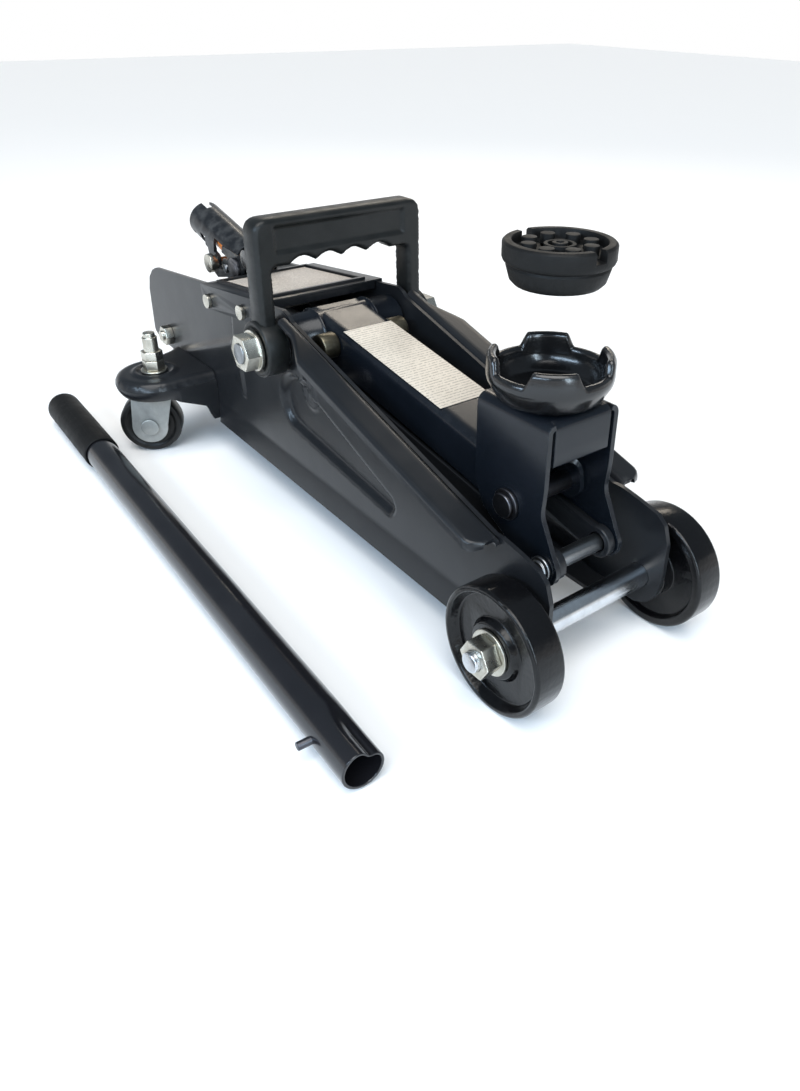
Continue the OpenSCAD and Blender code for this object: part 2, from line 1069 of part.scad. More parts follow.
module saddle_bracket() {
    color("#22262b")
        difference() {
            union() {
                for (y = [bracket_half, -bracket_half + bracket_t])
                    upright(y, bracket_t)
                        cheek_outline();
                translate([bracket_x0, -bracket_half, bracket_top - bracket_t])
                    cube([bracket_x1 - bracket_x0, 2 * bracket_half, bracket_t]);
                translate([bracket_x1 - bracket_t, -bracket_half + bracket_t + 1.2, 106.5])
                    cube([bracket_t, 2 * (bracket_half - bracket_t) - 2.4, 20]);
            }
            cross_hole(pivot_b, pin_r + fit);
            cross_hole(pivot_d, link_pin_r + fit);
            translate([saddle_x, 0, bracket_top - 10])
                cylinder(h = 20, r = 8 + fit);
        }
}

module arm_front_pin() {
    color("#55585a") {
        cross(pivot_b, pin_r, 2 * bracket_half + 8);
        cross(pivot_b, 6.3, 2.2, -bracket_half - 3.3);
    }
}

module link_front_pin() {
    color("#8d9092") {
        cross(pivot_d, link_pin_r, 2 * bracket_half + 7);
        cross(pivot_d, 6.3, 2, -bracket_half - 1.1);
    }
}

module pin_clips() {
    color("#55585a") {
        pin_ring(pivot_b, pin_r, 8, -bracket_half - 1.1);
        pin_ring(pivot_b, pin_r, 8, bracket_half + 1.1);
        pin_ring(pivot_d, link_pin_r, 7.5, bracket_half + 1.1);
    }
}

module pin_ring(at, r_in, r_out, y_mid) {
    difference() {
        cross(at, r_out, 2, y_mid);
        cross(at, r_in + fit, 4, y_mid);
    }
}

// ---- Saddle and its pad ----

module saddle() {
    lug_turn = 50;
    lug_sweep = 50;
    color("#15161a")
        translate([saddle_x, 0, saddle_z]) {
            difference() {
                rotate_extrude($fn = 96)
                    polygon([
                        [0, 0],
                        [20, 0],
                        [24, 1.5],
                        [saddle_r - 2, 7],
                        [saddle_r, 11],
                        [saddle_r, saddle_rim],
                        [saddle_r - 4, saddle_rim],
                        [saddle_r - 4.4, 11],
                        [saddle_r - 7, 6.5],
                        [saddle_r - 10, saddle_floor],
                        [0, saddle_floor]
                    ]);
            }
            cylinder(h = saddle_floor + 3, r = 10);
            translate([0, 0, -bracket_t - 5.3])
                cylinder(h = bracket_t + 6, r = 8);
            for (i = [0:3])
                rotate([0, 0, lug_turn + 90 * i - lug_sweep / 2])
                    rotate_extrude(angle = lug_sweep, $fn = 96)
                        polygon([
                            [saddle_r - 3.6, saddle_rim - 1.5],
                            [saddle_r - 0.4, saddle_rim - 1.5],
                            [saddle_r - 0.9, saddle_rim + lug_rise],
                            [saddle_r - 3.6, saddle_rim + lug_rise]
                        ]);
        }
}

module saddle_clip() {
    color("#8d9092")
        translate([saddle_x, 0, bracket_top - bracket_t - 3.6])
            difference() {
                cylinder(h = 1.6, r = 11);
                translate([0, 0, -1])
                    cylinder(h = 4, r = 8.02);
            }
}

module rubber_pad() {
    recess = 4.5;
    studs = 8;
    color("#17181a")
        translate([saddle_x, 0, pad_seat + pad_lift]) {
            difference() {
                rotate_extrude($fn = 96)
                    polygon([
                        [0, 0],
                        [19, 0],
                        [21, 2],
                        [22.8, 8],
                        [22.2, 9],
                        [pad_r - 0.6, 10],
                        [pad_r, 11.5],
                        [pad_r, pad_h - 1],
                        [pad_r - 1, pad_h],
                        [pad_r - 4, pad_h],
                        [pad_r - 4.4, pad_h - recess],
                        [0, pad_h - recess]
                    ]);
                for (s = [1, -1])
                    translate([s * (pad_r - 3), 0, pad_h - 2])
                        cube([12, 6, 6], center = true);
            }
            for (i = [0:studs - 1])
                rotate([0, 0, (i + 0.5) * 360 / studs])
                    translate([14.2, 0, pad_h - recess - 0.5])
                        cylinder(h = recess, r = 3.3);
            translate([0, 0, pad_h - recess - 0.5])
                difference() {
                    cylinder(h = recess - 1, r = 7);
                    translate([0, 0, -1])
                        cylinder(h = recess + 2, r = 5.2);
                }
            translate([0, 0, pad_h - recess - 0.5])
                difference() {
                    cylinder(h = recess - 0.5, r = 3.4);
                    translate([0, 0, 1])
                        cylinder(h = recess + 2, r = 1.6);
                }
        }
}

// ---- Carrying handle ----

module carry_handle() {
    leg_y0 = boss_y0;
    leg_y1 = boss_y1;
    leg_half = 7.5;
    grip_h = 23;
    top = carry_rise;
    edge = 6;
    color("#151515")
        translate([pivot_a[0], 0, pivot_a[1]])
            difference() {
                union() {
                    for (s = [1, -1])
                        translate([0, s * (leg_y0 + leg_y1) / 2, 0]) {
                            rotate([90, 0, 0])
                                cylinder(h = leg_y1 - leg_y0, r = 16.5, center = true);
                            translate([-leg_half, -5, 10])
                                cube([2 * leg_half, 10, top - 16]);
                        }
                    rotate([90, 0, 90])
                        linear_extrude(2 * leg_half, center = true)
                            grip_outline(top, grip_h, edge);
                }
                for (s = [1, -1])
                    translate([0, s * (leg_y0 + leg_y1) / 2, 0])
                        rotate([90, 0, 0])
                            cylinder(h = 30, r = 6 + 0.15, center = true);
                // shallow panels in the grip's two faces
                for (s = [1, -1])
                    translate([s * leg_half, 0, top - grip_h / 2 - 0.5])
                        cube([3, 2 * boss_y0 - 6, grip_h - 9], center = true);
            }
}

module grip_outline(top, h, edge) {
    half = boss_y0 + 9.5;
    fingers = 4;
    span = 2 * (half - 22);
    pitch = span / fingers;
    difference() {
        union() {
            translate([-half + edge, top - h])
                square([2 * (half - edge), h]);
            translate([-half, top - h - 6])
                square([2 * half, h + 6 - edge]);
            for (s = [1, -1])
                translate([s * (half - edge), top - edge])
                    circle(edge);
        }
        translate([-half + 16, top - h - 20])
            square([2 * (half - 16), 20]);
        for (i = [0:fingers - 1])
            translate([-span / 2 + pitch * (i + 0.5), top - h - pitch * 0.62])
                circle(pitch * 0.78);
    }
}

// ---- Casters ----

module caster_stems() {
    color("#c9c7bc")
        mirrored_pair()
            translate([stem_at[0], stem_at[1], 0]) {
                translate([0, 0, ear_z - 8])
                    cylinder(h = stem_top - ear_z + 8 - 3, r = 5);
                translate([0, 0, stem_top - 3.5])
                    cylinder(h = 3.5, r = 4);
                translate([0, 0, ear_z - 10.6])
                    cylinder(h = 2, r = 7.5);
                translate([0, 0, ear_z - 9])
                    cylinder(h = 2, r = 5);
            }
}

// Flat washer and two nuts on each stem
module caster_nuts() {
    across = 13;
    color("#c9c7bc")
        mirrored_pair()
            translate([stem_at[0], stem_at[1], ear_z + ear_t_top + 0.05]) {
                difference() {
                    cylinder(h = 1.6, r = 9);
                    translate([0, 0, -1])
                        cylinder(h = 4, r = 5 + fit);
                }
                translate([0, 0, 1.65])
                    hex_nut(across, 7, 5 + fit);
                translate([0, 0, 8.75])
                    hex_nut(across, 6, 5 + fit);
            }
}

caster_z = caster_r;

module on_caster(side) {
    mirror([0, side > 0 ? 0 : 1, 0])
        translate([stem_at[0], stem_at[1], 0])
            rotate([0, 0, side > 0 ? caster_swivel : -caster_swivel])
                children();
}

module caster_fork(side) {
    plate_z = ear_z - 6;
    cheek_r = 12;
    color("#b7babb")
        on_caster(side)
            difference() {
                union() {
                    translate([0, 0, plate_z - fork_t])
                        cylinder(h = fork_t, r = 15);
                    translate([0, 0, plate_z - 0.1])
                        cylinder(h = 4.5, r = 12);
                    translate([-trail - 9, -fork_gap / 2 - fork_t, plate_z - fork_t])
                        cube([trail + 19, fork_gap + 2 * fork_t, fork_t]);
                    for (y = [fork_gap / 2 + fork_t, -fork_gap / 2])
                        upright(y, fork_t)
                            union() {
                                translate([-trail, caster_z])
                                    circle(cheek_r);
                                polygon([
                                    [-trail - cheek_r, caster_z],
                                    [-trail - 9, plate_z - 0.2],
                                    [10, plate_z - 0.2],
                                    [10, plate_z - fork_t - 5],
                                    [-trail + cheek_r, caster_z]
                                ]);
                            }
                }
                translate([0, 0, plate_z - 20])
                    cylinder(h = 40, r = 5 + 0.3);
                cross([-trail, caster_z], 3.5 + fit, 60);
            }
}

module caster_fork_right() {
    caster_fork(1);
}

module caster_fork_left() {
    caster_fork(-1);
}

module caster_wheel(side) {
    half = fork_gap / 2 - 1;
    color("#101112")
        on_caster(side)
            translate([-trail, 0, caster_z])
                rotate([90, 0, 0])
                    rotate_extrude($fn = 96)
                        polygon([
                            [3.5 + fit, -half],
                            [9, -half],
                            [10, -half + 2],
                            [caster_r - 5, -half + 2],
                            [caster_r - 4, -half + 1],
                            [caster_r - 1, -half + 1],
                            [caster_r, -half + 3],
                            [caster_r, half - 3],
                            [caster_r - 1, half - 1],
                            [caster_r - 4, half - 1],
                            [caster_r - 5, half - 2],
                            [10, half - 2],
                            [9, half],
                            [3.5 + fit, half]
                        ]);
}

module caster_wheel_right() {
    caster_wheel(1);
}

module caster_wheel_left() {
    caster_wheel(-1);
}

module caster_axle(side) {
    color("#c3c5c4")
        on_caster(side) {
            cross([-trail, caster_z], 3.5, fork_gap + 2 * fork_t + 1);
            for (s = [1, -1])
                cross([-trail, caster_z], 6, 1.8, s * (fork_gap / 2 + fork_t + 0.95));
        }
}

module caster_axle_right() {
    caster_axle(1);
}

module caster_axle_left() {
    caster_axle(-1);
}

// ---- Long handle, lying beside the jack ----

// The handle's own frame: X back along it from its front end
module on_bar() {
    translate([bar_front[0], bar_front[1], grip_r])
        rotate([0, 0, 180 - bar_turn])
            rotate([0, 90, 0])
                children();
}

module handle_tube() {
    wall = 1.3;
    color("#1b1d22")
        on_bar()
            difference() {
                cylinder(h = tube_len - 4, r = tube_r);
                translate([0, 0, -1])
                    cylinder(h = tube_len + 2, r = tube_r - wall);
                // key slot at the open end
                translate([-tube_r - 1, -1.6, 17])
                    cube([5, 3.2, 7]);
                translate([0, 0, 27])
                    rotate([90, 0, 0])
                        cylinder(h = 60, r = 2 + fit, center = true);
            }
}

module handle_peg() {
    color("#55585a")
        on_bar()
            translate([0, 0, 27])
                rotate([-90, 0, 0])
                    translate([0, 0, -tube_r + 0.5])
                        cylinder(h = 2 * tube_r + 6, r = 2);
}

module handle_grip() {
    color("#0e0f10")
        on_bar()
            difference() {
                union() {
                    translate([0, 0, tube_len - grip_len])
                        cylinder(h = grip_len - 8, r = grip_r);
                    translate([0, 0, tube_len - 8])
                        rotate_extrude($fn = 64)
                            intersection() {
                                translate([grip_r - 8, 0])
                                    circle(8);
                                square([grip_r, 8]);
                            }
                    translate([0, 0, tube_len - 8])
                        cylinder(h = 8, r = grip_r - 8);
                }
                translate([0, 0, tube_len - grip_len - 1])
                    cylinder(h = grip_len - 3 + 0.05, r = tube_r + fit);
            }
}

side_plate_left();
side_plate_right();
caster_bracket_left();
caster_bracket_right();
cover_plate();
cover_label();
cover_screws();
front_axle();
front_axle_washers();
front_axle_nuts();
front_wheel_left();
front_wheel_right();
arm_pivot_shaft();
arm_pivot_nuts();
arm_pivot_spacers();
link_anchor_pins();
rear_cross_bolt();
rear_cross_spacer();
pump_block();
reservoir();
ram_cylinder();
ram();
ram_pin();
filler_plug();
relief_valve();
release_valve();
pump_plunger();
plunger_spring();
handle_socket();
socket_pivot_pin();
socket_roller();
socket_clamp_bolt();
release_coupling();
lift_arm();
arm_label();
arm_collars();
link_bars();
saddle_bracket();
arm_front_pin();
link_front_pin();
pin_clips();
saddle();
saddle_clip();
rubber_pad();
carry_handle();
caster_stems();
caster_nuts();
caster_fork_left();
caster_fork_right();
caster_wheel_left();
caster_wheel_right();
caster_axle_left();
caster_axle_right();
handle_tube();
handle_grip();
handle_peg();
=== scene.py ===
import json
import math

import bmesh
import bpy
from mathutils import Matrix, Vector
from mathutils.geometry import delaunay_2d_cdt

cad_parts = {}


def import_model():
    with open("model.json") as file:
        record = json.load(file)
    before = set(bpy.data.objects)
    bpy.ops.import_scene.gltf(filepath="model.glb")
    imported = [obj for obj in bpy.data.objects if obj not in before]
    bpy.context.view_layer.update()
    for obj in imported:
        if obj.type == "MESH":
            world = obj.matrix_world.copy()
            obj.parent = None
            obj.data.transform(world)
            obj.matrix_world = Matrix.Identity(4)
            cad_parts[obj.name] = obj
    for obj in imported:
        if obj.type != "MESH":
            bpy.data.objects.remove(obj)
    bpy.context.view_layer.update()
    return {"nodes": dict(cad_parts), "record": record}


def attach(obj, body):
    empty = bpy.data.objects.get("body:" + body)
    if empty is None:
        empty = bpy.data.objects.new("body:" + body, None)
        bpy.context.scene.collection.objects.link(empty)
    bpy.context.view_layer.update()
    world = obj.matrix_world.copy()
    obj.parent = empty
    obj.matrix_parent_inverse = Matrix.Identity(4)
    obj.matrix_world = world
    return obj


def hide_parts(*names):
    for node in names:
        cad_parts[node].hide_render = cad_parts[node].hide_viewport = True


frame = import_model()
nodes = frame["nodes"]
MM = 0.001


# ---- Materials ----

def new_material(name):
    m = bpy.data.materials.new(name)
    m.use_nodes = True
    nt = m.node_tree
    return m, nt, nt.nodes["Principled BSDF"]


def coords(nt, scale=(1, 1, 1)):
    tc = nt.nodes.new("ShaderNodeTexCoord")
    mp = nt.nodes.new("ShaderNodeMapping")
    mp.inputs["Scale"].default_value = scale
    nt.links.new(tc.outputs["Object"], mp.inputs["Vector"])
    return mp.outputs["Vector"]


def noise(nt, vec, scale, detail=4, rough=0.55):
    n = nt.nodes.new("ShaderNodeTexNoise")
    n.inputs["Scale"].default_value = scale
    n.inputs["Detail"].default_value = detail
    n.inputs["Roughness"].default_value = rough
    nt.links.new(vec, n.inputs["Vector"])
    return n.outputs["Fac"]


def ramp(nt, fac, stops):
    r = nt.nodes.new("ShaderNodeValToRGB")
    els = r.color_ramp.elements
    while len(els) < len(stops):
        els.new(0.5)
    for e, (at, col) in zip(els, stops):
        e.position = at
        e.color = (col[0], col[1], col[2], 1) if isinstance(col, tuple) else (col, col, col, 1)
    nt.links.new(fac, r.inputs["Fac"])
    return r.outputs["Color"]


def bump(nt, bsdf, height, strength, distance, chained=None):
    b = nt.nodes.new("ShaderNodeBump")
    b.inputs["Strength"].default_value = strength
    b.inputs["Distance"].default_value = distance
    nt.links.new(height, b.inputs["Height"])
    if chained is not None:
        nt.links.new(chained, b.inputs["Normal"])
    nt.links.new(b.outputs["Normal"], bsdf.inputs["Normal"])
    return b.outputs["Normal"]


def edge_wear(nt, base, worn, amount=0.55):
    """Lightens convex edges, broken up by noise."""
    geo = nt.nodes.new("ShaderNodeNewGeometry")
    vec = coords(nt)
    grit = noise(nt, vec, 160, 5)
    edge = ramp(nt, geo.outputs["Pointiness"], [(0.52, 0.0), (0.62, 1.0)])
    mul = nt.nodes.new("ShaderNodeMath")
    mul.operation = "MULTIPLY"
    nt.links.new(edge, mul.inputs[0])
    nt.links.new(ramp(nt, grit, [(0.42, 0.0), (0.64, amount)]), mul.inputs[1])
    mix = nt.nodes.new("ShaderNodeMix")
    mix.data_type = "RGBA"
    nt.links.new(mul.outputs[0], mix.inputs[0])
    nt.links.new(base, mix.inputs[6])
    mix.inputs[7].default_value = (*worn, 1)
    return mix.outputs[2]


def paint(name, dark, light, rough, peel=0.05, wear=(0.07, 0.07, 0.07), coat=0.08, spec=0.28):
    m, nt, b = new_material(name)
    vec = coords(nt)
    col = ramp(nt, noise(nt, vec, 22, 5), [(0.3, dark), (0.72, light)])
    nt.links.new(edge_wear(nt, col, wear), b.inputs["Base Color"])
    nt.links.new(ramp(nt, noise(nt, vec, 70, 6), [(0.3, rough - 0.025), (0.7, rough + 0.03)]),
                 b.inputs["Roughness"])
    b.inputs["Specular IOR Level"].default_value = spec
    b.inputs["Coat Weight"].default_value = coat
    b.inputs["Coat Roughness"].default_value = 0.18
    bump(nt, b, noise(nt, vec, 420, 3), peel, 0.0004)
    return m


def metal(name, tint, shade, rough, grain=(1, 1, 1), scale=300, strength=0.12, metallic=1.0):
    m, nt, b = new_material(name)
    vec = coords(nt)
    cloudy = noise(nt, vec, 90, 6, 0.65)
    nt.links.new(ramp(nt, cloudy, [(0.3, shade), (0.7, tint)]), b.inputs["Base Color"])
    b.inputs["Metallic"].default_value = metallic
    nt.links.new(ramp(nt, cloudy, [(0.25, rough + 0.12), (0.75, rough - 0.05)]),
                 b.inputs["Roughness"])
    bump(nt, b, noise(nt, coords(nt, scale=grain), scale, 4), strength, 0.0003)
    return m


def moulded(name, dark, light, rough, grain=900, strength=0.25, sheen=0.0, spec=0.35):
    m, nt, b = new_material(name)
    vec = coords(nt)
    nt.links.new(ramp(nt, noise(nt, vec, 45, 5), [(0.3, dark), (0.72, light)]),
                 b.inputs["Base Color"])
    nt.links.new(ramp(nt, noise(nt, vec, 130, 5), [(0.3, rough - 0.07), (0.7, rough + 0.09)]),
                 b.inputs["Roughness"])
    b.inputs["Sheen Weight"].default_value = sheen
    b.inputs["Specular IOR Level"].default_value = spec
    bump(nt, b, noise(nt, vec, grain, 4), strength, 0.0003)
    return m


def label_material(name, paper, rows, inked):
    """Cream film with rows of fine print-like marks, which spell nothing."""
    m, nt, b = new_material(name)
    vec = coords(nt)
    stretched = coords(nt, scale=(1, 0.5, 1))
    base = ramp(nt, noise(nt, vec, 60, 4), [(0.3, tuple(c * 0.93 for c in paper)), (0.7, paper)])
    wave = nt.nodes.new("ShaderNodeTexWave")
    wave.bands_direction = "X"
    wave.inputs["Scale"].default_value = rows
    nt.links.new(vec, wave.inputs["Vector"])
    lines = ramp(nt, wave.outputs["Fac"], [(0.66, 0.0), (0.74, 1.0)])
    letters = ramp(nt, noise(nt, stretched, 1500, 2), [(0.44, 0.0), (0.50, 0.8)])
    blocks = ramp(nt, noise(nt, vec, 30, 1), [(0.30, 0.0), (0.34, 1.0)])
    prev = lines
    for other in (letters, blocks):
        mul = nt.nodes.new("ShaderNodeMath")
        mul.operation = "MULTIPLY"
        nt.links.new(prev, mul.inputs[0])
        nt.links.new(other, mul.inputs[1])
        prev = mul.outputs[0]
    mix = nt.nodes.new("ShaderNodeMix")
    mix.data_type = "RGBA"
    nt.links.new(prev, mix.inputs[0])
    nt.links.new(base, mix.inputs[6])
    mix.inputs[7].default_value = (*inked, 1)
    nt.links.new(mix.outputs[2], b.inputs["Base Color"])
    nt.links.new(ramp(nt, noise(nt, vec, 200, 3), [(0.3, 0.38), (0.7, 0.5)]), b.inputs["Roughness"])
    bump(nt, b, noise(nt, vec, 500, 2), 0.05, 0.0002)
    return m


MAT = {
    "frame_paint": paint("frame_paint", (0.008, 0.009, 0.011), (0.014, 0.015, 0.017), 0.30),
    "cover_paint": paint("cover_paint", (0.007, 0.008, 0.010), (0.012, 0.013, 0.015), 0.30),
    "arm_paint": paint("arm_paint", (0.004, 0.006, 0.009), (0.008, 0.010, 0.014), 0.24),
    "tube_paint": paint("tube_paint", (0.006, 0.006, 0.008), (0.011, 0.011, 0.013), 0.20,
                        coat=0.25, spec=0.45),
    "wheel_black": paint("wheel_black", (0.002, 0.002, 0.0025), (0.004, 0.004, 0.0045), 0.20,
                         peel=0.35, coat=0.15, spec=0.25),
    "cast_black": paint("cast_black", (0.004, 0.004, 0.0045), (0.008, 0.008, 0.0085), 0.20,
                        peel=0.3, coat=0.3, spec=0.4),
    "zinc": metal("zinc", (0.66, 0.64, 0.57), (0.42, 0.40, 0.34), 0.26),
    "fork_zinc": metal("fork_zinc", (0.42, 0.43, 0.42), (0.30, 0.31, 0.30), 0.46,
                       strength=0.2, metallic=0.7),
    "axle_chrome": metal("axle_chrome", (0.72, 0.75, 0.78), (0.52, 0.54, 0.57), 0.17,
                         grain=(1, 12, 1)),
    "ram_chrome": metal("ram_chrome", (0.75, 0.76, 0.78), (0.58, 0.59, 0.61), 0.14,
                        grain=(12, 1, 1)),
    "steel": metal("steel", (0.34, 0.36, 0.38), (0.20, 0.21, 0.22), 0.30, grain=(1, 10, 1)),
    "dark_steel": metal("dark_steel", (0.12, 0.12, 0.13), (0.06, 0.06, 0.07), 0.34),
    "handle_plastic": moulded("handle_plastic", (0.004, 0.005, 0.005), (0.009, 0.010, 0.010), 0.40),
    "rubber_black": moulded("rubber_black", (0.003, 0.003, 0.003), (0.006, 0.006, 0.006), 0.55,
                            spec=0.22),
    "caster_black": moulded("caster_black", (0.004, 0.004, 0.004), (0.008, 0.008, 0.008), 0.38),
    "orange_plastic": moulded("orange_plastic", (0.55, 0.12, 0.015), (0.80, 0.24, 0.05), 0.38),
}
MAT["label"] = label_material("label", (0.60, 0.53, 0.46), 105, (0.22, 0.18, 0.15))
# two nodes look different from the rest of their slot
MAT["arm_collars"] = metal("post_zinc", (0.20, 0.18, 0.13), (0.08, 0.07, 0.05), 0.36)
MAT["arm_label"] = label_material("arm_label", (0.68, 0.60, 0.50), 143, (0.30, 0.25, 0.20))
OWN_LOOK = ("arm_label", "arm_collars")

slot_of = {part["node"]: part["material_slot"] for part in frame["record"]["subparts"]}


# ---- CAD nodes that stay: rounded edges and a finish ----

# width in millimetres of each node's rounded edges; the rest have EDGE_ROUND
ROUND = {
    "rubber_pad": 0.5, "cover_plate": 0.6, "pump_block": 1.2, "link_bars": 0.8,
    "caster_fork_left": 0.9, "caster_fork_right": 0.9, "front_wheel_left": 0.7,
    "front_wheel_right": 0.7, "caster_wheel_left": 0.9, "caster_wheel_right": 0.9,
    "front_axle_nuts": 0.6, "arm_pivot_nuts": 0.8, "caster_nuts": 0.6, "front_axle": 0.6,
    "caster_stems": 1.2, "cover_screws": 0.8, "socket_clamp_bolt": 0.9, "arm_front_pin": 1.4,
    "link_front_pin": 1.0, "arm_collars": 1.2, "caster_axle_left": 0.8, "caster_axle_right": 0.8,
    "rear_cross_bolt": 0.8, "handle_grip": 0.6, "arm_label": 0.1, "cover_label": 0.1,
}
EDGE_ROUND = 0.4
WELD_M = 0.00001

# thin curved walls with windows cut in them keep their edges sharp
CRISP = ("handle_socket", "release_coupling")


def finish_node(name, width_mm):
    o = nodes[name]
    for poly in o.data.polygons:
        poly.use_smooth = True
    o.data.materials.clear()
    o.data.materials.append(MAT[name if name in OWN_LOOK else slot_of[name]])
    weld = o.modifiers.new("weld", "WELD")
    weld.merge_threshold = WELD_M
    if name in CRISP:
        split = o.modifiers.new("edges", "EDGE_SPLIT")
        split.split_angle = math.radians(30)
        even = o.modifiers.new("even", "WEIGHTED_NORMAL")
        even.mode = "FACE_AREA"
        even.weight = 100
        return
    flat = o.modifiers.new("flats", "DECIMATE")
    flat.decimate_type = "DISSOLVE"
    flat.angle_limit = math.radians(0.8)
    bev = o.modifiers.new("round", "BEVEL")
    bev.width = width_mm * MM
    bev.segments = 3
    bev.limit_method = "ANGLE"
    bev.angle_limit = math.radians(34)
    bev.use_clamp_overlap = True
    bev.harden_normals = True
    bev.miter_outer = "MITER_ARC"


for name in nodes:
    finish_node(name, ROUND.get(name, EDGE_ROUND))


# ---- Shapes built here ----

def smooth01(t):
    """Eases from 0 to 1 as t does, and holds outside that."""
    t = max(0.0, min(1.0, t))
    return t * t * (3 - 2 * t)


def link_object(name, me, node_list, body, slot):
    """Adds a piece that rides on a body and looks like its slot."""
    o = bpy.data.objects.new(name, me)
    bpy.context.scene.collection.objects.link(o)
    me.materials.append(MAT[slot])
    for poly in me.polygons:
        poly.use_smooth = True
    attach(o, body)
    if node_list:
        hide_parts(*node_list)
    return o


def mesh_from(name, verts_mm, faces):
    """A mesh in metres from points in millimetres."""
    me = bpy.data.meshes.new(name)
    me.from_pydata([tuple(c * MM for c in v) for v in verts_mm], [], faces)
    me.validate()
    me.update()
    return me


def inside(poly, x, z):
    """Whether a point is within a closed outline."""
    hit = False
    j = len(poly) - 1
    for i in range(len(poly)):
        xi, zi = poly[i]
        xj, zj = poly[j]
        if (zi > z) != (zj > z) and x < (xj - xi) * (z - zi) / (zj - zi) + xi:
            hit = not hit
        j = i
    return hit


def seg_dist(p, a, b):
    """How far a point is from the stretch between two others."""
    ax, az = a
    dx, dz = b[0] - ax, b[1] - az
    t = max(0.0, min(1.0, ((p[0] - ax) * dx + (p[1] - az) * dz) / (dx * dx + dz * dz)))
    return math.hypot(p[0] - ax - t * dx, p[1] - az - t * dz)


def rounded(poly, radii, steps=5):
    """A closed outline whose corners are rounded. radii is one number, or one for each corner."""
    out = []
    n = len(poly)
    for i in range(n):
        r = radii if not isinstance(radii, (list, tuple)) else radii[i]
        p, a, b = Vector(poly[i]), Vector(poly[i - 1]), Vector(poly[(i + 1) % n])
        u, v = (a - p), (b - p)
        lu, lv = u.length, v.length
        u.normalize()
        v.normalize()
        ang = math.acos(max(-1, min(1, u.dot(v))))
        if r <= 0 or ang > math.radians(176):
            out.append((p.x, p.y))
            continue
        cut = min(r / math.tan(ang / 2), 0.45 * lu, 0.45 * lv)
        s, e = p + u * cut, p + v * cut
        for k in range(steps + 1):
            t = k / steps
            q = s * (1 - t) ** 2 + p * 2 * t * (1 - t) + e * t ** 2
            out.append((q.x, q.y))
    return out


def dense(poly, step):
    """A closed outline with a point at least every step or so."""
    out = []
    n = len(poly)
    for i in range(n):
        a, b = poly[i], poly[(i + 1) % n]
        m = max(1, int(math.hypot(b[0] - a[0], b[1] - a[1]) / step))
        out += [(a[0] + (b[0] - a[0]) * k / m, a[1] + (b[1] - a[1]) * k / m) for k in range(m)]
    return out


ROW_RATIO = 0.87      # rows of filling points lie this many steps apart
EDGE_GAP = 0.55       # and this many from the outline's own points, or more
SLIVER_MM2 = 0.002    # a smaller triangle is left out


def filled(outline, step, holes=()):
    """Points and triangles that fill an outline evenly."""
    edge = dense(outline, step)
    pts = [Vector(p) for p in edge]
    edges = [(i, (i + 1) % len(edge)) for i in range(len(edge))]
    loops = [edge]
    for hole in holes:
        start = len(pts)
        ring = dense(hole, step)
        loops.append(ring)
        pts += [Vector(p) for p in ring]
        edges += [(start + i, start + (i + 1) % len(ring)) for i in range(len(ring))]
    xs = [p[0] for p in edge]
    zs = [p[1] for p in edge]
    grid = []
    rows = int((max(zs) - min(zs)) / (step * ROW_RATIO)) + 1
    cols = int((max(xs) - min(xs)) / step) + 1
    for r in range(rows):
        for c in range(cols):
            x = min(xs) + (c + 0.5 * (r % 2)) * step
            z = min(zs) + r * step * ROW_RATIO
            if inside(edge, x, z) and not any(inside(h, x, z) for h in loops[1:]):
                grid.append((x, z))
    flat = [p for loop in loops for p in loop]
    cell = {}
    for p in flat:
        cell.setdefault((int(p[0] // step), int(p[1] // step)), []).append(p)
    for x, z in grid:
        cx, cz = int(x // step), int(z // step)
        near = [q for i in (-1, 0, 1) for j in (-1, 0, 1) for q in cell.get((cx + i, cz + j), [])]
        if all(math.hypot(x - q[0], z - q[1]) > EDGE_GAP * step for q in near):
            pts.append(Vector((x, z)))
    vs, _, fs, _, _, _ = delaunay_2d_cdt(pts, edges, [], 0, 1e-5)
    keep = []
    for f in fs:
        cx = sum(vs[i].x for i in f) / len(f)
        cz = sum(vs[i].y for i in f) / len(f)
        a, b, c = (vs[i] for i in f)
        area = abs((b.x - a.x) * (c.y - a.y) - (c.x - a.x) * (b.y - a.y)) / 2
        in_hole = any(inside(h, cx, cz) for h in loops[1:])
        if area > SLIVER_MM2 and inside(edge, cx, cz) and not in_hole:
            keep.append(tuple(f))
    return [(v.x, v.y) for v in vs], keep


def circle_pts(at, r, n=32):
    return [(at[0] + r * math.cos(2 * math.pi * k / n), at[1] + r * math.sin(2 * math.pi * k / n))
            for k in range(n)]


def strip_faces(rows, across, flip):
    """Faces between rows of points that are open at both ends."""
    faces = []
    for i in range(rows - 1):
        for k in range(across - 1):
            q = (i * across + k, i * across + k + 1, (i + 1) * across + k + 1, (i + 1) * across + k)
            faces.append(q[::-1] if flip else q)
    return faces


def ring_faces(rings, around, flip=False):
    """Faces between rings of points, where the last ring joins the first."""
    faces = []
    for i in range(rings):
        j = (i + 1) % rings
        for k in range(around):
            m = (k + 1) % around
            q = (i * around + k, i * around + m, j * around + m, j * around + k)
            faces.append(q[::-1] if flip else q)
    return faces


def edge_bevel(o, width_mm, degrees, harden=False):
    bev = o.modifiers.new("edge", "BEVEL")
    bev.width = width_mm * MM
    bev.segments = 2
    bev.limit_method = "ANGLE"
    bev.angle_limit = math.radians(degrees)
    bev.harden_normals = harden


def thicken(o, mm, offset):
    """Gives a sheet its thickness and softens its cut edges."""
    sol = o.modifiers.new("sheet", "SOLIDIFY")
    sol.thickness = mm * MM
    sol.offset = offset
    edge_bevel(o, 0.45, 50, harden=True)


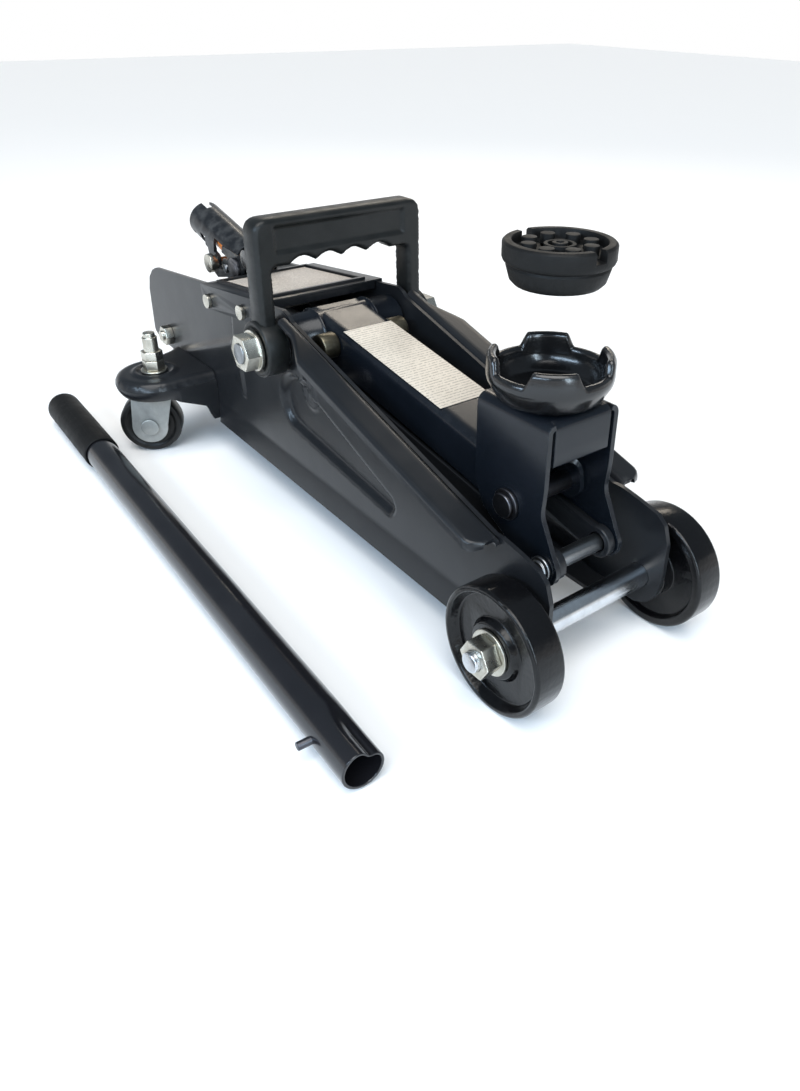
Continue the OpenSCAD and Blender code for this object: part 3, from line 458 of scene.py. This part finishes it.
def folded(s, half, bend, top):
    """Where a point s from the middle of a flat sheet goes when both its sides are folded down."""
    flat = half - bend
    arc = bend * math.pi / 2
    a, sign = abs(s), (1 if s > 0 else -1)
    if a <= flat:
        return s, top
    if a <= flat + arc:
        t = (a - flat) / bend
        return sign * (flat + bend * math.sin(t)), top - bend * (1 - math.cos(t))
    return sign * half, top - bend - (a - flat - arc)


# ---- Side plates: one pressed sheet, with its bends and pressings ----
# Millimetres: x is forward from the front axle, z is up from the floor.

PIVOT_A = (-217.0, 109.0)     # lift arm's shaft, which the carrying handle turns on too
PIVOT_C = (-191.0, 86.0)      # rear ends of the parallel links
OUT = 41.0                    # outer face of the web, from the middle plane
SHEET = 2.5
BEND_X = -212                 # the top edge changes slope here
WING_FRONT = (-285.0, 92.7)   # front corner of the rear wing's ledge
WING_LOW = (-399.0, 48.5)     # lower rear end of that ledge
WING_STEP = 4.0               # how far the wing lies inwards of the web
RECESS = ((-205.0, 75.0, 19.0), (-110.4, 50.6, 7.1))   # x, z and radius of the teardrop's ends
RECESS_DEPTH = 4.0
RECESS_WALL = 4.2             # width of its sloping wall
FOOT_BAND, FOOT_SWELL = 15.5, 3.0     # height of the band along the foot, and its swell
BEAD = ((-277.0, 79.0), (-275.0, 57.0))   # ends of the short upright bead
PIVOT_RING = 9.2              # radius of the raised ring round PIVOT_C


def bottom_z(x):
    return 15.2 - 0.023 * x


def front_top(x):
    return 70.7 - 0.283 * x


def rear_top(x):
    return front_top(BEND_X) + 0.1103 * (x - BEND_X)


def recess_field(x, z):
    """1 on the floor of the long teardrop, 0 outside it, with a sloping wall between."""
    (ax, az, ra), (bx, bz, rb) = RECESS
    dx, dz = bx - ax, bz - az
    length = math.hypot(dx, dz)
    ux, uz = dx / length, dz / length
    along = (x - ax) * ux + (z - az) * uz
    across = abs(-(x - ax) * uz + (z - az) * ux)
    slope = (ra - rb) / length
    along += across * slope
    t = max(0.0, min(length, along))
    r = ra + (rb - ra) * t / length
    d = math.hypot(x - ax - ux * t, z - az - uz * t) - r
    return smooth01(-d / RECESS_WALL)


def wing_field(x, z):
    """1 behind the curved ledge where the sheet steps inwards, 0 on the web."""
    top = (WING_FRONT[0] + 3.0, rear_top(WING_FRONT[0]) + 8)
    curve = [top, (WING_FRONT[0], WING_FRONT[1] + 6), (WING_FRONT[0] - 1.0, WING_FRONT[1] + 1.5),
             (WING_FRONT[0] - 5, WING_FRONT[1] - 2.6), (-340.0, 71.4), WING_LOW, (-440.0, 33.0)]
    best = min(seg_dist((x, z), curve[i], curve[i + 1]) for i in range(len(curve) - 1))
    side = inside(curve + [(-500.0, 33.0), (-500.0, 200.0), (top[0], 200.0)], x, z)
    return smooth01(0.5 + (best if side else -best) / 5.0)


def plate_y(x, z):
    """How far out the pressed sheet's outer face lies."""
    y = OUT
    y -= WING_STEP * wing_field(x, z)
    band = (bottom_z(x) + FOOT_BAND - z)
    if x > -322:
        fade = smooth01((x + 322) / 8) * smooth01((-30 - x) / 14)
        swell = max(0.0, min(FOOT_SWELL, band * FOOT_SWELL / FOOT_BAND))
        y += fade * swell * smooth01(band / 3.0 + 0.4)
    y -= RECESS_DEPTH * recess_field(x, z)
    bead = seg_dist((x, z), *BEAD)
    y += 1.25 * smooth01((3.4 - bead) / 2.6)
    ring = abs(math.hypot(x - PIVOT_C[0], z - PIVOT_C[1]) - PIVOT_RING)
    y += 0.9 * smooth01((1.9 - ring) / 1.6)
    return y


def plate_outline():
    rim = 2.0
    pts = [
        (-436, 55), (-434, 88), (-430, 98), (-422, 105), (-414, rear_top(-414)),
        (BEND_X, front_top(BEND_X)), (-206, front_top(-206) - 0.3),
        (-203, front_top(-203) - rim), (-24, front_top(-24) - rim), (-19, front_top(-19) - 0.4),
        (-14, 75), (-7, 73.8), (6, 71), (11, 67), (14.5, 57), (14.5, 38), (12.5, 26), (8, 19.5),
        (0, bottom_z(0)), (-331, bottom_z(-331)), (-340, 34), (-341.5, 56.5), (-387, 52.5),
        WING_LOW, (-428, 50),
    ]
    radii = [5, 6, 6, 8, 8, 4, 0, 0, 0, 0, 3, 3, 4, 4, 5, 5, 5, 5, 6, 3, 4, 2, 4, 8, 6]
    return rounded(pts, radii, 6)


def side_plate(side, name):
    holes = [circle_pts(PIVOT_A, 8.1), circle_pts((0, 32.5), 6.6), circle_pts(PIVOT_C, 5.1, 24),
             circle_pts((-404, 60), 4.1, 20)]
    pts, tris = filled(plate_outline(), 1.7, holes)
    verts = [(x, side * plate_y(x, z), z) for x, z in pts]
    faces = [t if side < 0 else t[::-1] for t in tris]
    o = link_object("pressed_" + name, mesh_from("pressed_" + name, verts, faces), [name], "chassis",
                    "frame_paint")
    thicken(o, SHEET, -1)
    # top flange: bends out over a radius, runs flat and rolls down at its edge
    bend, lip_r = 4.5, 2.6
    stations = 90
    rows = []
    for i in range(stations + 1):
        x = -205 + 185 * i / stations
        full = smooth01((x + 205) / 36) if x < -169 else 1.0
        nose = 1.0
        if x > -27:
            nose = math.sqrt(max(0.0, 1 - ((x + 27) / 7.6) ** 2))
        width = 4.0 + 13.0 * min((x + 205) / 37, 1.0) * (0.5 + 0.5 * full)
        width = max(3.2, width * (0.3 + 0.7 * nose))
        top = front_top(x)
        sect = []
        for k in range(7):
            a = math.pi / 2 * k / 6
            sect.append((OUT + bend * (1 - math.cos(a)) * 0.8, top - bend * (1 - math.sin(a))))
        flat_end = max(OUT + bend, OUT + width - lip_r)
        for k in range(1, 6):
            sect.append((sect[6][0] + (flat_end - sect[6][0]) * k / 5, top))
        drop = min(4.8, max(0.8, width * 0.32)) * nose
        for k in range(1, 7):
            a = math.pi / 2 * k / 6
            sect.append((flat_end + lip_r * math.sin(a), top - lip_r * (1 - math.cos(a)) * 0.9))
        sect.append((flat_end + lip_r, top - lip_r * 0.9 - drop * 0.6))
        rows.append([(x, side * min(y, OUT + 16.9), z - 0.02) for y, z in sect])
    verts = [v for row in rows for v in row]
    faces = strip_faces(stations + 1, len(rows[0]), side > 0)
    f = link_object("flange_" + name, mesh_from("flange_" + name, verts, faces), None, "chassis",
                    "frame_paint")
    thicken(f, SHEET * 0.9, -1)
    # flange turned in along the foot
    verts = []
    steps = 60
    for i in range(steps + 1):
        x = -318 + 312 * i / steps
        reach = 14.5 * smooth01((x + 318) / 10) * smooth01((-4 - x) / 14)
        z = bottom_z(x)
        for y, dz in ((OUT + 1.2, 0.35), (OUT - 1.5, 0.0), (OUT - 1.5 - reach, 0.0)):
            verts.append((x, side * y, z + dz))
    faces = strip_faces(steps + 1, 3, side > 0)
    g = link_object("foot_" + name, mesh_from("foot_" + name, verts, faces), None, "chassis",
                    "frame_paint")
    thicken(g, SHEET, -1)


# ---- Caster brackets: pressed ears with a rolled edge ----

STEM = (-345.5, 73.8)     # the caster's upright axis: x, and distance from the middle plane
EAR_TOP = 58.5
EAR_SHEET = 2.2
SKIRT = 7.5               # depth of the skirt around the ear's end


def caster_bracket(side, name):
    sx, sy = STEM
    r_end, roll = 27.0, 6.0
    outline = [(sx - 41, OUT + 0.2), (sx - 34, OUT + 9), (sx - r_end + 0.6, sy - 6)]
    for k in range(25):
        a = math.radians(180 - 7.5 * k)
        outline.append((sx + r_end * math.cos(a), sy + r_end * math.sin(a)))
    outline += [(sx + r_end, OUT + 0.2)]
    hole = circle_pts((sx, sy), 5.1, 28)
    pts, tris = filled(rounded(outline, 0), 1.5, [hole])
    verts = []
    for x, y in pts:
        d = min(seg_dist((x, y), outline[i], outline[i + 1]) for i in range(len(outline) - 1))
        d = min(d, roll)
        z = EAR_TOP - roll + math.sqrt(max(0.0, roll * roll - (roll - d) ** 2))
        ring = abs(math.hypot(x - sx, y - sy) - 13.2)
        z += 1.3 * smooth01((2.9 - ring) / 2.4) - 0.02
        verts.append((x, side * y, z))
    faces = [t if side > 0 else t[::-1] for t in tris]
    o = link_object("ear_" + name, mesh_from("ear_" + name, verts, faces), [name], "chassis",
                    "frame_paint")
    thicken(o, EAR_SHEET, -1)
    # skirt hung from the rolled edge; it deepens along the front towards the plate
    path = dense(outline, 1.6)[:-1]
    joined = [i for i, p in enumerate(path)
              if i and seg_dist(p, outline[-1], outline[0]) < 0.2 and p[0] < sx]
    if joined:
        path = path[:joined[0]]
    verts = []
    levels = 9
    used = []
    for p in path:
        depth = SKIRT
        if p[0] > sx + r_end - 3 and p[1] < sy:
            t = (sy - p[1]) / (sy - OUT)
            depth = SKIRT + 14.0 * t
            if p[1] < 47.5:
                depth = 28.5
            elif p[1] < 50.5:
                depth = SKIRT + 14.0 * t + 6.5 * smooth01((50.5 - p[1]) / 3.0)
        used.append((p, depth))
    for p, depth in used:
        away = Vector((p[0] - sx, p[1] - sy, 0))
        away.normalize()
        curl = 1.0 if p[1] > sy - 4 else 0.0
        for k in range(levels):
            t = k / (levels - 1)
            pull = curl * 3.0 * t * t
            verts.append((p[0] - away.x * pull, side * (p[1] - away.y * pull),
                          EAR_TOP - roll - depth * t))
    faces = strip_faces(len(used), levels, side > 0)
    s = link_object("skirt_" + name, mesh_from("skirt_" + name, verts, faces), None, "chassis",
                    "frame_paint")
    thicken(s, EAR_SHEET, -1)


# ---- Long handle's tube: crimped at its open end ----

BAR_FRONT = (6.0, -135.0)   # x and y of the open end
BAR_TURN = 2.2              # degrees from straight back


def handle_tube():
    x0, y0, turn = BAR_FRONT[0], BAR_FRONT[1], math.radians(BAR_TURN)
    ux, uy = -math.cos(turn), math.sin(turn)
    nx, ny = -uy, ux
    r_out, wall, zc = 10.3, 1.4, 11.6
    seg = 64
    slist = [0, 0.6] + [i * 2.0 for i in range(1, 24)] + [60 + i * 21.0 for i in range(19)]
    verts = []

    def ring(s, r):
        crimp = 1 - smooth01((s - 12) / 26)
        for k in range(seg):
            a = 2 * math.pi * k / seg
            dent = 0.34 * crimp * math.exp(-((a - math.radians(118)) / 0.5) ** 2)
            rr = r * (1 - dent)
            verts.append((x0 + ux * s + nx * rr * math.cos(a), y0 + uy * s + ny * rr * math.cos(a),
                          zc + rr * math.sin(a)))

    for s in slist:
        ring(s, r_out)
    for s in reversed(slist):
        ring(s, r_out - wall)
    faces = ring_faces(2 * len(slist), seg)
    o = link_object("crimped_tube", mesh_from("crimped_tube", verts, faces), ["handle_tube"],
                    "long_handle", "tube_paint")
    edge_bevel(o, 0.35, 50)


for side, hand in ((-1, "right"), (1, "left")):
    side_plate(side, "side_plate_" + hand)
    caster_bracket(side, "caster_bracket_" + hand)
handle_tube()


# ---- Saddle: a cast cup with four lugs growing out of its rim ----

SADDLE_AT = (-36.5, 0.0, 128.7)


def revolve(name, at, rings):
    """A mesh turned about Z. rings is one list of (radius, z) for each angle."""
    verts, faces = [], []
    count, m = len(rings), len(rings[0])
    for j, ring in enumerate(rings):
        a = 2 * math.pi * j / count
        verts += [(at[0] + r * math.cos(a), at[1] + r * math.sin(a), at[2] + z) for r, z in ring]
    for j in range(count):
        n = (j + 1) % count
        for k in range(m - 1):
            faces.append((j * m + k, n * m + k, n * m + k + 1, j * m + k + 1))
    return mesh_from(name, verts, faces)


def saddle_cup():
    rings = []
    for j in range(240):
        deg = 1.5 * j
        off = abs((deg - 50 + 45) % 90 - 45)
        top = 15.5 + 6.4 * smooth01((27.5 - off) / 8.5) ** 0.8
        lean = 0.5 * smooth01((28.5 - off) / 7.5)
        rings.append([
            (0, -8), (7.6, -8), (8, -7.6), (8, -0.3), (8.4, 0), (19, 0), (21.5, 0.4), (24, 1.5),
            (26.2, 4.2), (27.6, 7), (28.8, 9), (29.35, 11), (29.5, 13),
            (29.45 - lean * 0.3, top - 2.4), (29.2 - lean, top - 1.1), (28.5 - lean, top - 0.3),
            (27.6 - lean, top), (26.7 - lean, top - 0.2), (25.9 - lean, top - 1.0),
            (25.5 - lean, top - 2.4), (25.3, 12), (25.0, 10.5), (24, 8.4), (22.6, 6.5), (21, 5),
            (19.3, 4.2), (17.5, 4), (11.6, 4), (10.9, 4.3), (10.4, 5.2), (10.2, 6.2), (9.7, 6.8),
            (8.8, 7), (0, 7),
        ])
    o = link_object("lobed_cup", revolve("lobed_cup", SADDLE_AT, rings), ["saddle"], "saddle",
                    "cast_black")
    weld = o.modifiers.new("weld", "WELD")
    weld.merge_threshold = WELD_M


# ---- Saddle bracket: one sheet folded down both sides, with a flap in front ----

LINK_PIN = (-9.959, 56.678)   # lower pin, which the links' front ends turn on


def saddle_bracket():
    bend, half, top = 5.0, 22.4, 128.4
    flat = half - bend
    arc = bend * math.pi / 2
    drop = top - bend + flat + arc
    pin = LINK_PIN
    cheek = [(-60.5, 84), (-54, 70)]
    cheek += [(pin[0] + 9.5 * math.cos(math.radians(a)), pin[1] + 9.5 * math.sin(math.radians(a)))
              for a in range(236, 386, 10)]
    cheek += [(-4.6, 66), (-8.8, 74), (-13.6, 83), (-12.5, 97)]
    half_line = [(x, drop - z) for x, z in cheek]
    rim = flat + 0.8
    outline = half_line + [(-12.5, rim), (-16.4, rim)]
    radii = [9, 9] + [0] * 15 + [9, 12, 12, 9, 0, 0]
    outline += [(x, -s) for x, s in outline[::-1]]
    radii += radii[::-1]
    pts, tris = filled(rounded(outline, radii, 6), 1.5)
    verts = [(x, *folded(s, half, bend, top)) for x, s in pts]
    o = link_object("folded_bracket", mesh_from("folded_bracket", verts, tris), ["saddle_bracket"],
                    "saddle_carrier", "arm_paint")
    thicken(o, 2.8, -1)
    path = [(-22, top - 0.05), (-18, top - 0.05)]
    for k in range(7):
        a = math.radians(15 * k)
        path.append((-16.8 + 4.2 * math.sin(a), top - 0.05 - 4.2 * (1 - math.cos(a))))
    path += [(-12.6, top - 8), (-12.6, top - 14), (-12.6, 107.5), (-12.9, 106.6)]
    cols = 12
    verts, faces = [], []
    for x, z in path:
        verts += [(x, -rim + 0.6 + (2 * rim - 1.2) * j / cols, z) for j in range(cols + 1)]
    for i in range(len(path) - 1):
        for j in range(cols):
            a = i * (cols + 1) + j
            faces.append((a, a + cols + 1, a + cols + 2, a + 1))
    f = link_object("front_flap", mesh_from("front_flap", verts, faces), None, "saddle_carrier",
                    "arm_paint")
    thicken(f, 2.6, -1)


# ---- Carrying handle: moulded frame with finger scallops, on two round bosses ----

def carry_handle():
    px, pz = PIVOT_A
    out, inner, top = 55.6, 45.8, 73.0
    outline = [(-out, 4), (-out, top), (out, top), (out, 4), (inner, 4), (inner, 46.5), (34, 46.5)]
    radii = [0, 9, 9, 0, 0, 4, 0]
    waves = 40
    for k in range(1, waves):
        y = 34 - 68 * k / waves
        outline.append((y, 47.0 + 3.4 * abs(math.sin(math.pi * 4 * k / waves)) ** 1.15))
        radii.append(0)
    outline += [(-34, 46.5), (-inner, 46.5), (-inner, 4)]
    radii += [0, 4, 0]
    outline = outline[::-1]
    radii = radii[::-1]
    line = rounded(outline, radii, 8)
    pts, tris = filled(line, 1.3)
    edge = dense(line, 1.3)
    soft, depth, cell = 2.6, 7.5, 6
    cells = {}
    n = len(edge)
    for i in range(n):
        key = (int(edge[i][0] // cell), int(edge[i][1] // cell))
        cells.setdefault(key, []).append(i)
    verts = []
    for y, z in pts:
        cy, cz = int(y // cell), int(z // cell)
        near = [i for a in (-1, 0, 1) for b in (-1, 0, 1)
                for i in cells.get((cy + a, cz + b), [])]
        d = min([seg_dist((y, z), edge[i], edge[(i + 1) % n]) for i in near] + [soft])
        x = depth - soft + math.sqrt(max(0.0, soft * soft - (soft - d) ** 2))
        panel = min(43.5 - abs(y), z - 54.0, 69.0 - z)
        x -= 1.9 * smooth01(panel / 1.3)
        verts.append((x, y, z))
    count = len(verts)
    verts = ([(px + x, y, pz + z) for x, y, z in verts]
             + [(px - x, y, pz + z) for x, y, z in verts])
    faces = [tuple(t) for t in tris] + [tuple(i + count for i in t[::-1]) for t in tris]
    start = len(verts)
    for x in (depth - soft, 0.0, soft - depth):
        verts += [(px + x, y, pz + z) for y, z in edge]
    for r in range(2):
        for i in range(n):
            j = (i + 1) % n
            a, b = start + r * n, start + (r + 1) * n
            faces.append((a + i, b + i, b + j, a + j))
    o = link_object("moulded_grip", mesh_from("moulded_grip", verts, faces), ["carry_handle"],
                    "carry_handle", "handle_plastic")
    weld = o.modifiers.new("weld", "WELD")
    weld.merge_threshold = 0.00002
    # radius of each boss and how far in from its outer face
    profile = [(6.2, 0.6), (6.6, 0.2), (9.6, 0.2), (10.4, 1.2), (12.8, 1.2), (13.4, 0.2),
               (15.2, 0.1), (16.1, 0.5), (16.5, 1.4), (16.5, 12.6), (16.1, 13.5), (15.2, 14.0),
               (6.6, 14.0), (6.2, 13.6)]
    seg, face_y = 72, 57.6
    for side, hand in ((-1, "right"), (1, "left")):
        verts = []
        for j in range(seg):
            a = 2 * math.pi * j / seg
            verts += [(px + r * math.cos(a), side * (face_y - h), pz + r * math.sin(a))
                      for r, h in profile]
        faces = ring_faces(seg, len(profile), side < 0)
        link_object("handle_boss_" + hand, mesh_from("handle_boss_" + hand, verts, faces), None,
                    "carry_handle", "handle_plastic")


# ---- Lift arm: a channel with rounded long edges, its hub and the lug under it ----

ARM_DROP = 9.2    # degrees below level at rest


def lift_arm():
    drop = math.radians(ARM_DROP)
    half, top, bend = 18.6, 15.4, 5.0
    flat = half - bend
    arc = bend * math.pi / 2
    length = 183.4

    def world(x, y, z):
        return (PIVOT_A[0] + x * math.cos(drop) + z * math.sin(drop), y,
                PIVOT_A[1] - x * math.sin(drop) + z * math.cos(drop))

    side = [(-11, 7), (-14, 0), (-9, -11), (0, -15), (11, -10), (40, -8), (length - 40, -9),
            (length - 5, -10), (length + 6, -8), (length + 11, 0), (length + 8, 9)]
    fold = top - bend + flat + arc
    half_line = [(x, fold - z) for x, z in side]
    outline = [(-6.5, flat)] + half_line + [(length + 1, flat)]
    radii = [5, 4, 6, 6, 8, 6, 0, 0, 6, 6, 6, 4, 5]
    outline += [(x, -s) for x, s in outline[::-1]]
    radii += radii[::-1]
    pts, tris = filled(rounded(outline[::-1], radii[::-1], 5), 2.2)
    verts = []
    for x, s in pts:
        y, z = folded(s, half, bend, top)
        verts.append(world(x, y, z - 0.02))
    o = link_object("channel_arm", mesh_from("channel_arm", verts, tris), ["lift_arm"], "lift_arm",
                    "arm_paint")
    thicken(o, 2.5, -1)
    hub = [(8.1, -37.5), (14.3, -37.5), (15.2, -37.1), (15.5, -36.2), (15.5, -20.6), (16.6, -19.6),
           (17.2, -18.7), (15.5, -18.0), (15.5, 18.0), (17.2, 18.7), (16.6, 19.6), (15.5, 20.6),
           (15.5, 36.2), (15.2, 37.1), (14.3, 37.5), (8.1, 37.5)]
    seg = 64
    verts = []
    for j in range(seg):
        a = 2 * math.pi * j / seg
        verts += [(PIVOT_A[0] + r * math.cos(a), y, PIVOT_A[1] + r * math.sin(a)) for r, y in hub]
    h = link_object("arm_hub", mesh_from("arm_hub", verts, ring_faces(seg, len(hub))), None,
                    "lift_arm", "arm_paint")
    edge_bevel(h, 0.3, 60)
    # the lug that the ram pushes, with a slot for the ram's pin
    lug = [(-9, 4), (-13, -5), (-35.8, -37.5), (-32, -47), (-22.8, -52), (-12, -48), (-10.2, -36.5),
           (12, -7), (9, 4)]
    slot = [(-22.8 + 5.4 * 0.552, -34.5 + 5.4 * 0.834), (-22.8 - 6 * 0.552, -34.5 - 6 * 0.834)]
    hole, slot_r = [], 7.7
    for (cx, cz), first in ((slot[0], -56.5), (slot[1], 123.5)):
        for k in range(13):
            a = math.radians(first + 15 * k)
            hole.append((cx + slot_r * math.cos(a), cz + slot_r * math.sin(a)))
    body = [(PIVOT_A[0] + x, PIVOT_A[1] + z) for x, z in rounded(lug, [0, 4, 8, 8, 9, 8, 6, 3, 0], 5)]
    hole = [(PIVOT_A[0] + x, PIVOT_A[1] + z) for x, z in hole]
    pts, tris = filled(body, 3.0, [hole])
    verts = [(x, -8.0, z) for x, z in pts]
    g = link_object("arm_lug", mesh_from("arm_lug", verts, tris), None, "lift_arm", "arm_paint")
    thicken(g, 16.0, -1)


saddle_cup()
saddle_bracket()
carry_handle()
lift_arm()


# ---- Floor, light, camera ----

def add_floor():
    bm = bmesh.new()
    half = 4.0
    corners = ((-half, -half), (half, -half), (half, half), (-half, half))
    bm.faces.new([bm.verts.new((x, y, 0)) for x, y in corners])
    me = bpy.data.meshes.new("floor")
    bm.to_mesh(me)
    bm.free()
    o = bpy.data.objects.new("floor", me)
    bpy.context.scene.collection.objects.link(o)
    m, _, b = new_material("floor_white")
    b.inputs["Base Color"].default_value = (0.93, 0.93, 0.93, 1)
    b.inputs["Roughness"].default_value = 0.8
    me.materials.append(m)


def add_area(name, loc, target, size, power, colour=(1, 1, 1)):
    light = bpy.data.lights.new(name, "AREA")
    light.shape = "RECTANGLE"
    light.size, light.size_y = size
    light.energy = power
    light.color = colour
    o = bpy.data.objects.new(name, light)
    bpy.context.scene.collection.objects.link(o)
    o.location = loc
    o.rotation_euler = (Vector(target) - Vector(loc)).to_track_quat("-Z", "Y").to_euler()


def add_sun(name, towards, strength, spread, colour):
    light = bpy.data.lights.new(name, "SUN")
    light.energy = strength
    light.angle = math.radians(spread)
    light.color = colour
    o = bpy.data.objects.new(name, light)
    bpy.context.scene.collection.objects.link(o)
    o.rotation_euler = Vector(towards).to_track_quat("-Z", "Y").to_euler()


def add_world():
    """A white wall all round at floor level, and a dim ceiling."""
    w = bpy.data.worlds.new("studio")
    bpy.context.scene.world = w
    w.use_nodes = True
    nt = w.node_tree
    bg = nt.nodes["Background"]
    tc = nt.nodes.new("ShaderNodeTexCoord")
    split = nt.nodes.new("ShaderNodeSeparateXYZ")
    nt.links.new(tc.outputs["Generated"], split.inputs[0])
    height = ramp(nt, split.outputs[2], [(0.0, 1.0), (0.13, 0.98), (0.26, (0.19, 0.22, 0.25)),
                                         (1.0, (0.22, 0.27, 0.32))])
    nt.links.new(height, bg.inputs["Color"])
    bg.inputs["Strength"].default_value = 1.0


def add_camera():
    cam = bpy.data.cameras.new("camera")
    cam.sensor_width = 36
    cam.lens = 28.73
    cam.shift_x = -0.04738
    cam.shift_y = -0.03721
    cam.clip_start = 0.01
    o = bpy.data.objects.new("camera", cam)
    o.location = (0.22494, -0.26740, 0.29100)
    o.rotation_euler = [math.radians(a) for a in (59.186, -0.843, 51.573)]
    bpy.context.scene.collection.objects.link(o)
    bpy.context.scene.camera = o


add_floor()
add_world()
middle = (-0.2, 0, 0.07)
add_sun("key_sun", (-0.35, 0.28, -1.0), 2.5, 45, (1.0, 0.985, 0.96))
add_area("rim_strip", (-0.9, 0.75, 0.8), middle, (0.8, 0.10), 3, (1.0, 0.90, 0.76))
add_area("side_strip", (0.15, -1.1, 0.7), middle, (1.2, 0.16), 12, (0.60, 0.79, 1.0))
add_area("front_strip", (1.1, -0.25, 0.55), middle, (0.14, 0.8), 7, (0.70, 0.86, 1.0))
add_camera()
bpy.context.scene.view_settings.view_transform = "Standard"
